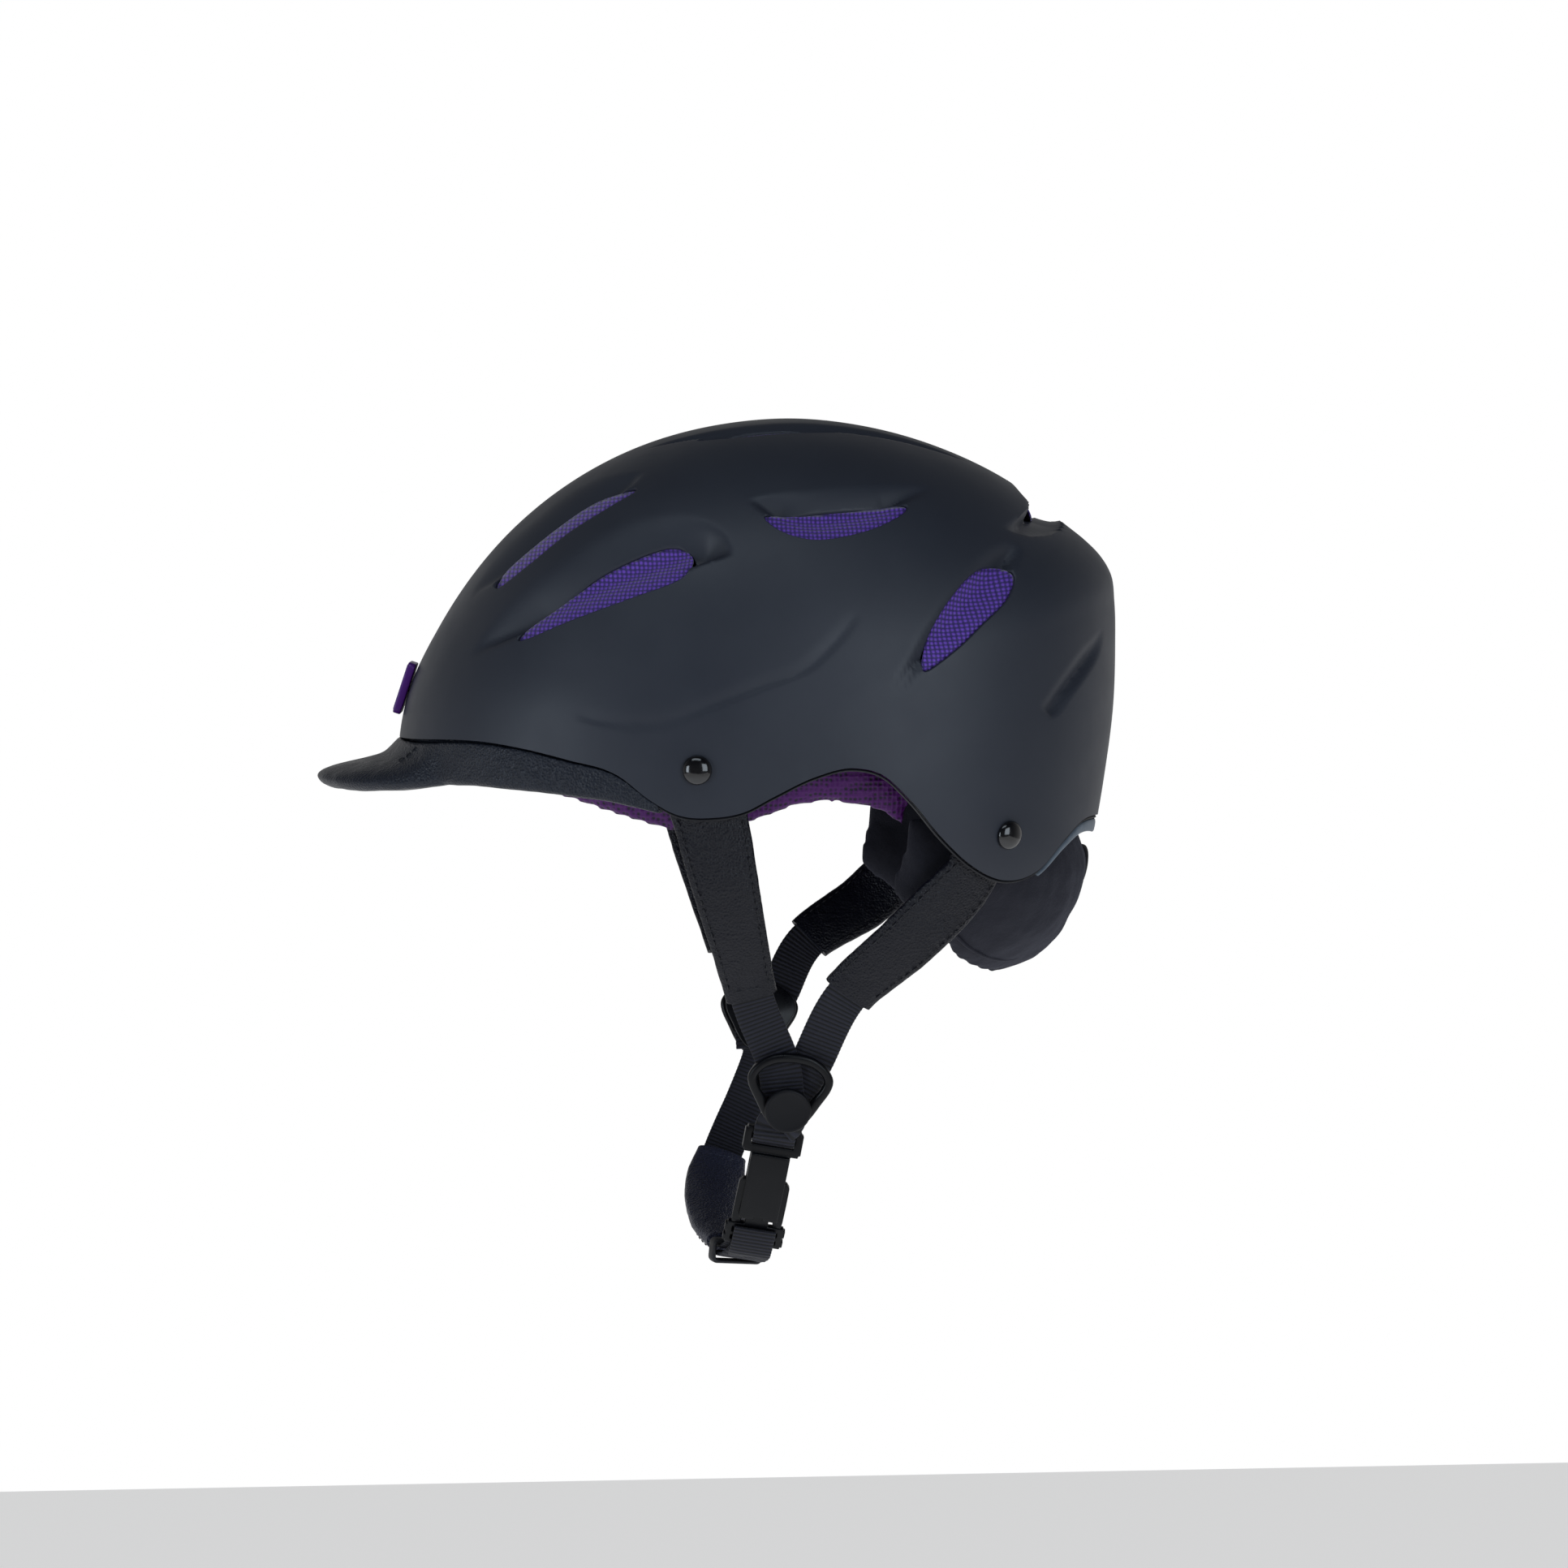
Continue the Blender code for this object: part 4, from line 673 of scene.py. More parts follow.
def badge_finish():
    """Purple satin plate, brushed along its width."""
    plate = Finish("badge_plate", (92, 32, 140), 0.35)
    place = plate.place(scale=(0.15, 6.0, 6.0))
    brushed = plate.noise(place, 1.0, 4.0)
    plate.bump(brushed, 0.01)
    plate.roughen(brushed, 0.28, 0.42)
    return plate.tint(brushed, (78, 24, 122), 0.3, 0.7).material


def grey_finish():
    trim = Finish("grey_trim", (104, 115, 127), 0.5)
    place = trim.place()
    trim.bump(trim.noise(place, 4.0, 3.0), 0.02)
    return trim.tint(trim.noise(place, 0.2, 4.0), (88, 99, 112), 0.35, 0.7).material


def thread_finish():
    thread = Finish("thread", (22, 23, 33), 0.45)
    place = thread.place()
    twist = thread.wave(place, 1.2, "DIAGONAL", 0.5)
    thread.bump(twist, 0.08)
    return thread.tint(twist, (12, 12, 19)).material


SHELL = shell_finish()
KNIT = knit_finish()
SPACER = spacer_finish()
LEATHER = leather_finish()
BRIM_LEATHER = leather_finish("brim_leather", (34, 38, 48), (0.3, 0.42))
# painted light: the chin pad's dark leather is given a much lighter colour to stand in for the light
# falling on the pad's inner face
PAD_LEATHER_PAINTED_LIGHT = leather_finish("pad_leather_painted_light", (50, 52, 68), (0.2, 0.3))
WEBBING = webbing_finish()
FABRIC = fabric_finish()
PLASTIC = plastic_finish()
DISC = plastic_finish("disc_plastic", (8, 9, 15), (0.45, 0.55))
FOAM = foam_finish()
RIVET = rivet_finish()
RUBBER = rubber_finish()
PATCH = rubber_finish("patch_rubber", (24, 23, 30))
PLATE = badge_finish()
GREY = grey_finish()
THREAD = thread_finish()


# ---------------------------------------------------------------- shell, liner and vents
COLUMNS, ROWS = ((440, 196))
INNER_ROWS = 24
LINER_COLUMNS, LINER_ROWS, LINER_INNER_ROWS = 144, 90, 40
LINER_GAP = 1.2                         # clear space between shell and liner
INNER_SHARE = 0.9                       # how much of the relief shows on the shell's inner face
VENT_CHAMFER = 0.5
VENT_REACH = 9.0                        # how far the cutters stand past the surface
KNIT_FACE, KNIT_BACK = 1.3, 2.0         # depths of a vent insert's two faces


def vent_outlines(count=72):
    """Every vent's name, view, smooth 2-D outline and side: 1 is left, -1 its mirror."""
    for name, (view, outline) in VENTS.items():
        curve = smooth_path(outline, count, closed=True)
        for side in ((1,) if name == "rear_scoop" else (1, -1)):
            word = {"rear_scoop": ""}.get(name, "_left" if side > 0 else "_right")
            yield name + word, view, curve, side


def pushed_in(spots, step=LIP_STEP):
    """The relief at points of the smooth surface, as points of the finished one."""
    rays = unit(spots - CENTRE)
    return spots - rays * relief(spots, step)[:, None]


def grown(outline, distance):
    """2-D outline moved outwards, or inwards for a negative distance."""
    edge = np.roll(outline, -1, axis=0) - np.roll(outline, 1, axis=0)
    outward = unit(np.column_stack([edge[:, 1], -edge[:, 0]]))
    turned_in = ((outward * (outline - outline.mean(0))).sum(1)).sum() < 0
    return outline + (-outward if turned_in else outward) * distance


def dome(name, outer, inner, tilts, material, body, slot, nodes, rows, inner_rows):
    """Closed dome between two surfaces given as functions of directions."""
    columns = len(tilts)
    azimuths = np.arange(columns) * 360.0 / columns
    points = []
    for surface, count in ((outer, rows), (inner, inner_rows)):
        points.append(surface(np.array([[0.0, 0.0, 1.0]])))
        for row in range(1, count + 1):
            points.append(surface(heading(azimuths, tilts * row / count)))
    faces = []
    start = 0
    for count in (rows, inner_rows):
        for column in range(columns):
            after = (column + 1) % columns
            faces.append((start, start + 1 + column, start + 1 + after))
            for row in range(count - 1):
                a = start + 1 + row * columns
                faces.append((a + column, a + columns + column, a + columns + after, a + after))
        start += 1 + count * columns
    a = 1 + (rows - 1) * columns
    b = start - columns
    faces += [(a + k, b + k, b + (k + 1) % columns, a + (k + 1) % columns)
              for k in range(columns)]
    return add_piece(name, np.concatenate(points), faces, material, body, slot, nodes)


def cut_vents(shell):
    """Cuts the vents through the shell, with a small chamfer along every edge."""
    points, faces = [], []
    for _, view, curve, side in vent_outlines():
        ring = pushed_in(lift(view, curve))
        wide = pushed_in(lift(view, grown(curve, VENT_CHAMFER)))
        normal = unit(shell_normals(ring).mean(0))
        rings = [wide + normal * VENT_REACH, wide + normal * 0.1,
                 ring - normal * 0.9 * VENT_CHAMFER, ring - normal * VENT_REACH]
        rings = np.array([mirrored(r) if side < 0 else r for r in rings])
        start = len(points)
        points += rings.reshape(-1, 3).tolist()
        faces += [tuple(start + k for k in face) for face in ring_faces(4, len(curve))]
    mesh = bpy.data.meshes.new("cutter")
    mesh.from_pydata((np.array(points) * MM).tolist(), [], faces)
    face_outwards(mesh)
    cutter = link_object("cutter", mesh)
    cut = shell.modifiers.new("vents", "BOOLEAN")
    cut.operation = "DIFFERENCE"
    cut.solver = "MANIFOLD"
    cut.object = cutter
    bpy.context.view_layer.update()
    apply_modifiers(shell)
    bpy.data.objects.remove(cutter, do_unlink=True)
    shade_smooth(shell.data)
    crease(shell, 40)


def build_shell():
    azimuths = np.arange(COLUMNS) * 360.0 / COLUMNS
    tilts = np.array([edge_tilt(a, rim_edge) for a in azimuths])
    shell = dome("shell", lambda d: on_shell(d, 0, pressed=True),
                 lambda d: (on_shell(d, SHELL_WALL)
                            - unit(d) * INNER_SHARE * relief(on_shell(d))[:, None]),
                 tilts, SHELL, "helmet", "shell", ["outer_shell"], ROWS, INNER_ROWS)
    cut_vents(shell)


def build_vent_meshes():
    """Knit inserts that follow each recess just below the shell's outer face."""
    spacing = 1.0
    for name, view, curve, side in vent_outlines(96):
        edge = grown(curve, 0.15)
        low, high = edge.min(0), edge.max(0)
        grid = np.stack(np.meshgrid(np.arange(low[0], high[0], spacing),
                                    np.arange(low[1], high[1], spacing), indexing="ij"), -1)
        inner = grid.reshape(-1, 2)
        inner = inner[in_outline(inner, grown(curve, -0.6))]
        links = [(k, (k + 1) % len(edge)) for k in range(len(edge))]
        corners = [Vector(p) for p in np.concatenate([edge, inner])]
        flat, _, triangles, *_ = delaunay_2d_cdt(corners, links, [], 1, 1e-4)
        spots = np.array([tuple(p) for p in flat])
        surface = pushed_in(lift(view, spots), KNIT_STEP)
        rays = shell_normals(surface)
        points = np.concatenate([surface - rays * KNIT_FACE, surface - rays * KNIT_BACK])
        if side < 0:
            points = mirrored(points)
        size = len(spots)
        faces = [tuple(t) for t in triangles] + [tuple(size + k for k in t[::-1]) for t in triangles]
        faces += [(a, b, size + b, size + a) for a, b in boundary(triangles)]
        add_piece(f"vent_knit_{name}", points, faces, KNIT, "helmet", "vent_mesh",
                  [f"vent_mesh_{name}"], np.concatenate([spots, spots]))


def boundary(triangles):
    """Edges that belong to one triangle only."""
    seen = {}
    for triangle in triangles:
        for a, b in zip(triangle, [*triangle[1:], triangle[0]]):
            key = (min(a, b), max(a, b))
            seen[key] = None if key in seen else (a, b)
    return [edge for edge in seen.values() if edge]


def liner_depth(directions):
    return LINER_SIDE + LINER_ENDS * unit(directions)[:, 1] ** 2


def build_liner():
    azimuths = np.arange(LINER_COLUMNS) * 360.0 / LINER_COLUMNS
    tilts = np.array([edge_tilt(a, lambda y: spline(LINER_EDGE, y), 12.0) for a in azimuths])

    def outer(directions):
        sunk = relief(on_shell(directions), NO_STEP)
        return on_shell(directions, SHELL_WALL + LINER_GAP) - unit(directions) * sunk[:, None]

    def inner(directions):
        return on_shell(directions) - unit(directions) * liner_depth(directions)[:, None]

    liner = dome("foam_liner", outer, inner, tilts, FOAM, "helmet", "foam", ["eps_liner"],
                 LINER_ROWS, LINER_INNER_ROWS)
    crease(liner, 40)


def build_edge_trim():
    """Black edging bead that hangs just below the shell's lower edge, behind the brim."""
    rings = []
    for azimuth in np.linspace(60, 300, 321):
        tilt = edge_tilt(azimuth, rim_edge)
        low = math.degrees(1.0 / 120)
        rings.append([on_shell(heading(azimuth, tilt + low * (0.5 + 0.75 * h)), d)[0]
                      for h, d in bead(0.75, 1.4, 0.5, 3.0)])
    loft("edge_trim", rings, RUBBER, "helmet", "rubber", ["shell_edge_trim"])


def bead(half_height, height, near, far):
    """Rounded section of a bead, as (height, depth) pairs."""
    turns = np.arange(14) * math.tau / 14
    return [(half_height + half_height * math.cos(t) * min(1, height),
             (near + far) / 2 + (far - near) / 2 * math.sin(t)) for t in turns]


def build_rear_trim():
    """Grey crescent under the back of the shell, between the rear lobes."""
    rings = []
    for step in range(97):
        share = step / 96
        azimuth = 141.0 + 78.0 * share
        fall = 0.7 + 5.0 * math.sin(math.pi * share)
        upper = edge_tilt(azimuth, lambda y: rim_edge(y) - 2.0)
        lower = edge_tilt(azimuth, lambda y: rim_edge(y) - 2.2 - fall)
        middle, half = (upper + lower) / 2, (lower - upper) / 2
        ring = []
        for turn in np.arange(16) * math.tau / 16:
            high = np.sign(math.cos(turn)) * abs(math.cos(turn)) ** 0.6
            ring.append(on_shell(heading(azimuth, middle - half * high),
                                 1.2 + 0.85 * math.sin(turn))[0])
        rings.append(ring)
    loft("grey_trim", rings, GREY, "helmet", "rear_grey", ["rear_trim"])


# ---------------------------------------------------------------- brim and badge
def brim_ring(azimuth):
    """Section of the brim at an azimuth: a band behind, the peak in the middle."""
    peak = max(0.0, 1 - (azimuth / BRIM_HALF_ANGLE) ** 2) ** 1.1
    turn = math.radians(azimuth)
    outward = np.array([math.sin(turn), -math.cos(turn), 0.0])
    tilt = edge_tilt(azimuth, rim_edge)
    rim = on_shell(heading(azimuth, tilt))[0]
    band = rim[2] - min(spline(BRIM_LOW, rim[1]), rim[2] - BRIM_LEAST)
    tongue = [on_shell(heading(azimuth, tilt - 2.6), SHELL_WALL + d)[0] for d in (0.6, 2.4)]
    flat = np.array([rim[0], rim[1], 0.0])

    thin = 1 - 0.30 * fade(abs(azimuth), 50.0, BRIM_END_ANGLE)

    def spot(inset, height, reach, peak_height):
        z = (rim[2] - height * band) * (1 - peak) + peak_height * peak
        droop = 3.0 * peak * (1 - peak)
        return flat + outward * (reach * BRIM_REACH * peak - inset * thin) + [0, 0, z - droop]

    under = flat + [0, 0, rim[2] - 0.6] - outward * (SHELL_WALL + 0.7)
    return [tongue[0], under, spot(0.6, 0.07, 0.02, rim[2] - 0.9), spot(0.1, 0.3, 0.2, 6.4),
            spot(0.0, 0.5, 0.45, 3.8), spot(0.0, 0.75, 0.80, 1.2), spot(0.3, 0.9, 0.96, -1.0),
            spot(0.9, 0.96, 1.00, -3.2), spot(1.9, 1.0, 0.94, -5.8), spot(3.2, 1.0, 0.80, -6.7),
            spot(5.0, 0.97, 0.35, -6.2), spot(6.6, 0.70, 0.0, -3.0), tongue[1]]


def build_brim():
    rings = []
    for azimuth in np.linspace(-BRIM_END_ANGLE, BRIM_END_ANGLE, 260):
        rings.append(smooth_path(brim_ring(azimuth), 60, closed=True))
    brim = loft("brim", rings, BRIM_LEATHER, "helmet", "leather", ["brim"])
    wrinkle(brim, 0.35, 22.0)
    for side in (1, -1):
        line = []
        for azimuth in np.linspace(side * 17.5, side * 15.0, 4):
            ring = smooth_path(brim_ring(azimuth), 120, closed=True)
            line.append(ring[20 + 4 * len(line)])
        add_stitches(f"brim_stitches_{'left' if side > 0 else 'right'}", [line],
                     [[Vector((0, -0.3, 1))] * 4], "helmet", 2.6)


def wrinkle(piece, height, size):
    """Moves a surface in and out with smooth noise, all in millimetres."""
    mesh = piece.data
    mesh.update()
    normals = np.zeros(len(mesh.vertices) * 3)
    points = np.zeros(len(mesh.vertices) * 3)
    mesh.vertices.foreach_get("co", points)
    mesh.vertex_normals.foreach_get("vector", normals)
    points, normals = points.reshape(-1, 3), normals.reshape(-1, 3)
    push = [noise.fractal(Vector(p), 0.6, 2.0, 3) for p in points / (size * MM)]
    points = points + normals * (np.array(push) * height * MM)[:, None]
    mesh.vertices.foreach_set("co", points.reshape(-1))
    mesh.update()


def add_stitches(name, lines, facings, body, length=2.3):
    """Rows of stitches along lines; each one is a small rounded thread that dips in at both ends."""
    points, faces = [], []
    for line, facing in zip(lines, facings):
        line = np.array([tuple(p) for p in line], float)
        facing = unit(np.array([tuple(p) for p in facing], float))
        run = run_along(line)
        for middle in np.arange(STITCH_PITCH * 0.6, run[-1] - STITCH_PITCH * 0.3, STITCH_PITCH):
            ends = np.array([[np.interp(middle + side * length / 2, run, line[:, k])
                              for k in range(3)] for side in (-1, 1)])
            up = unit(np.array([np.interp(middle, run, facing[:, k]) for k in range(3)]))
            start = len(points)
            points += stitch_points(ends, up).tolist()
            faces += [tuple(start + k for k in face) for face in ring_faces(5, 6)]
    return add_piece(name, points, faces, THREAD, body, "leather")


def stitch_points(ends, up):
    """Five six-sided rings of one stitch: thin ends below the surface, a full middle above it."""
    along = unit(ends[1] - ends[0])
    side = np.cross(along, up)
    rings = []
    for share, rise, size in ((0, -0.15, 0.4), (0.2, 0.1, 0.9), (0.5, 0.2, 1.0), (0.8, 0.1, 0.9),
                              (1, -0.15, 0.4)):
        centre = ends[0] + (ends[1] - ends[0]) * share + up * rise
        radius = size * THREAD_WIDTH / 2
        for turn in np.arange(6) * math.tau / 6:
            rings.append(centre + (side * math.cos(turn) + up * math.sin(turn)) * radius)
    return np.array(rings)


def axes_matrix(origin, x_axis, y_axis, z_axis):
    columns = Matrix((Vector(x_axis), Vector(y_axis), Vector(z_axis))).transposed()
    return Matrix.Translation(Vector(origin)) @ columns.to_4x4()


def placed(matrix, local):
    return np.array([tuple(matrix @ Vector(p)) for p in local])


def rounded_outline(half_w, half_h, corner):
    points = []
    for u, v, start in ((1, 1, 0), (-1, 1, 90), (-1, -1, 180), (1, -1, 270)):
        for turn in np.linspace(0, 90, 8):
            angle = math.radians(start + turn)
            points.append((u * (half_w - corner) + corner * math.cos(angle),
                           v * (half_h - corner) + corner * math.sin(angle)))
    return np.array(points)


def soft_plate(name, matrix, outline, low, high, material, body, slot, nodes=(), edge=0.5):
    """Plate with rounded edges, between two heights of a local frame."""
    outline = np.array(outline, float)
    middle = outline.mean(0)
    far = np.linalg.norm(outline - middle, axis=1).mean()
    turn, bend = edge / far, 0.3 * edge / far
    steps = [(0.02, low), (1 - turn, low), (1 - bend, low + 0.3 * edge), (1, low + edge),
             (1, high - edge), (1 - bend, high - 0.3 * edge), (1 - turn, high),
             (1 - 2.5 * turn, high), (0.02, high)]
    rings = []
    for size, height in steps:
        flat = middle + (outline - middle) * size
        rings.append(placed(matrix, [(u, v, height) for u, v in flat]))
    return loft(name, rings, material, body, slot, nodes)


def soft_ring(name, matrix, outline, window, low, high, material, body, slot, nodes=(), power=3.0):
    """Ring between an outline and a window of as many points, rounded in section."""
    outline, window = np.array(outline, float), np.array(window, float)
    rings = []
    for turn in np.arange(20) * math.tau / 20:
        c, s = math.cos(turn), math.sin(turn)
        share = 0.5 + 0.5 * math.copysign(abs(c) ** (2 / power), c)
        height = (low + high) / 2 + (high - low) / 2 * math.copysign(abs(s) ** (2 / power), s)
        flat = window + (outline - window) * share
        rings.append(placed(matrix, [(u, v, height) for u, v in flat]))
    return loft(name, rings, material, body, slot, nodes, closed=True)


def surface_matrix(direction, inset=0.0):
    """Local frame on the smooth shell: u to the wearer's left, v up the surface, w outwards."""
    spot = on_shell(direction, inset)[0]
    normal = shell_normals(spot)[0]
    return axes_matrix(spot, (1, 0, 0), np.cross(normal, (1, 0, 0)), normal)


def build_badge():
    half_w, half_h, face = BADGE[0] / 2, BADGE[1] / 2, BADGE[2] + BADGE_RISE
    matrix = surface_matrix([0, -143.0, 8.5])
    soft_plate("front_plate", matrix, rounded_outline(half_w, half_h, 2.0), 0.2, face, PLATE,
               "helmet", "badge", ["front_badge"])
    soft_ring("front_plate_rim", matrix, rounded_outline(half_w - 1.0, half_h - 1.0, 1.6),
              rounded_outline(half_w - 1.9, half_h - 1.9, 1.2), face - 0.3, face + 0.25, PLATE,
              "helmet", "badge")


# ---------------------------------------------------------------- pads
PAD_SHRINK = 0.995                      # the skin starts a little inside the solid
SKIN_MASS = 0.15
SKIN_STRETCH = 12
SKIN_SHEAR = 6
SKIN_BEND = 0.4


def vertex_array(mesh, field="co"):
    return np.array([getattr(v, field) for v in mesh.vertices])


def swollen(name, node, cell, pressure, frames, cap, grow):
    """Cloth-simulated copy of a CAD pad: its skin is blown up a little, like foam in fabric.

    cell is the size of its faces, cap the most that the cloth may move and grow an even swelling.
    """
    pad = link_object(name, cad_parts[node].data.copy())
    pad.data.materials.clear()
    remesh = pad.modifiers.new("skin", "REMESH")
    remesh.mode = "VOXEL"
    remesh.voxel_size = cell * MM
    even = pad.modifiers.new("even", "SMOOTH")
    even.iterations = 6
    bpy.context.view_layer.update()
    apply_modifiers(pad)
    rest = vertex_array(pad.data)
    middle = rest.mean(0)
    start = middle + (rest - middle) * PAD_SHRINK
    pad.data.vertices.foreach_set("co", start.reshape(-1))
    cloth = pad.modifiers.new("cloth", "CLOTH")
    skin = cloth.settings
    skin.quality = 4
    skin.mass = SKIN_MASS
    skin.tension_stiffness = SKIN_STRETCH
    skin.compression_stiffness = SKIN_STRETCH
    skin.shear_stiffness = SKIN_SHEAR
    skin.bending_stiffness = SKIN_BEND
    skin.use_pressure = True
    skin.uniform_pressure_force = pressure
    skin.effector_weights.gravity = 0
    cloth.collision_settings.use_collision = False
    cloth.collision_settings.use_self_collision = False
    scene = bpy.context.scene
    for step in range(1, frames + 1):
        scene.frame_set(step)
    apply_modifiers(pad)
    scene.frame_set(1)
    moved = vertex_array(pad.data) - start
    far = np.linalg.norm(moved, axis=1)[:, None]
    moved = moved * np.minimum(1, cap * MM / np.maximum(far, 1e-9))
    pad.data.vertices.foreach_set("co", (start + moved).reshape(-1))
    pad.data.update()
    facing = vertex_array(pad.data, "normal")
    pad.data.vertices.foreach_set("co", (start + moved + facing * grow * MM).reshape(-1))
    smooth = pad.modifiers.new("smooth", "SUBSURF")
    smooth.levels = 1
    bpy.context.view_layer.update()
    apply_modifiers(pad)
    shade_smooth(pad.data)
    return pad


def finish_pad(pad, material, body, slot, node):
    pad.data.materials.append(material)
    settle(pad, body, slot, [node])


NAPE_SHIFT = (0.0, 1.6, 0.8)            # the filled pad settles a little to the rear


def build_pads():
    kinds = [("brow_pad", SPACER, "spacer_mesh"), ("temple_pad_left", SPACER, "spacer_mesh"),
             ("temple_pad_right", SPACER, "spacer_mesh"), ("crown_pad", SPACER, "spacer_mesh"),
             ("rear_pad", FABRIC, "nape_fabric")]
    for node, material, slot in kinds:
        pad = swollen(f"soft_{node}", node, 1.9, 3.0, 16, 1.0, 0.3)
        wrinkle(pad, 0.5, 18.0)
        finish_pad(pad, material, "helmet", slot, node)
    nape = swollen("soft_nape_pad", "nape_pad", 2.4, 3.5, 18, 1.4, 1.5)
    wrinkle(nape, 0.7, 26.0)
    nape.data.transform(Matrix.Translation(Vector(NAPE_SHIFT) * MM))
    finish_pad(nape, FABRIC, "nape_cradle", "nape_fabric", "nape_pad")


PATCH_TILT = 118.0
PATCH_INSET = 1.8
PATCH_HALF = [15.0, 9.0]


def build_nape_patch():
    """Rubber oval with a purple inlay on the back of the nape pad."""
    matrix = surface_matrix(heading(180, PATCH_TILT), PATCH_INSET)
    turns = np.arange(64) * math.tau / 64
    oval = np.column_stack([np.cos(turns), np.sin(turns)]) * PATCH_HALF
    soft_ring("nape_patch", matrix, oval, oval * [0.62, 0.55], -1.6, 1.4, PATCH, "nape_cradle",
              "rubber", ["nape_patch"])
    soft_plate("nape_inlay", matrix, oval * [0.6, 0.53], -1.4, 1.0, PLATE, "nape_cradle", "badge",
               ["nape_inlay"], 0.35)


def nape_inset(azimuth, share):
    turn = abs(azimuth - 180.0) / NAPE_HALF_ANGLE
    return 1.0 + 19.0 * turn ** 1.5 + 5.5 * max(0.0, 1 - share * 4)


def build_nape_seam():
    """Piped seam that runs round the lower edge of the nape pad."""
    rings = []
    edge = [(40, -40), (60, -54), (74, -69), (88, -76), (105, -75), (140, -66)]
    for azimuth in 180.0 + NAPE_HALF_ANGLE * np.linspace(-0.9, 0.9, 121):
        depth = nape_inset(azimuth, 1.0)
        tilt = edge_tilt(azimuth, lambda y: spline(edge, y) + 9.0, depth + 5.0)
        centre = on_shell(heading(azimuth, tilt), depth - 0.1)[0]
        out = shell_normals(centre)[0]
        down = unit(np.cross(out, np.cross([0, 0, 1.0], out)) + 1e-9)
        rings.append([centre + (out * math.cos(t) + down * math.sin(t)) * 0.7
                      for t in np.arange(8) * math.tau / 8])
    loft("nape_piping", rings, FABRIC, "nape_cradle", "nape_fabric")


# ---------------------------------------------------------------- harness
def rivet_places():
    """Outer-surface point and normal of the rivets: front left, front right, rear left, rear right."""
    for spot in (FRONT_RIVET, REAR_RIVET):
        left = lift("side", [spot])[0]
        normal = shell_normals(left)[0]
        yield left, normal
        yield mirrored(left), mirrored(normal)


def build_rivets():
    head = RIVET_HEAD
    back = SHELL_WALL + 2 * TOUCH + WEB_THICK + 2.4
    dome_part = [(head * math.sin(t), 0.55 + 2.75 * math.cos(t))
                 for t in np.linspace(0, math.pi / 2, 14)]
    outline = dome_part + [(head * 0.99, 0.3), (head * 0.95, 0.1), (2.2, 0.1), (2.2, -back),
                           (4.2, -back), (4.2, -back - 1.0), (0, -back - 1.0)]
    names = ("front_rivet_left", "front_rivet_right", "rear_rivet_left", "rear_rivet_right")
    for name, (spot, normal) in zip(names, rivet_places()):
        cap = turned(name + "_cap", spot, normal, outline, RIVET, "helmet", "rivet_gloss", [name])
        crease(cap, 40)


def under_shell(view_y, view_z, depth):
    spot = lift("side", [(view_y, view_z)])[0]
    return Vector(spot - shell_normals(spot)[0] * depth)


def divider_frame(centre, side):
    """Local axes of a strap divider: u to the rear, v up the strap, w outwards."""
    up = Vector((side * math.sin(DIVIDER_LEAN), math.sin(DIVIDER_TWIST),
                 math.cos(DIVIDER_LEAN))).normalized()
    back = Vector((0, math.cos(DIVIDER_TWIST), -math.sin(DIVIDER_TWIST)))
    back = (back - up * back.dot(up)).normalized()
    out = back.cross(up)
    if out.x * side < 0:
        out = -out
    return axes_matrix(centre, back, up, out)


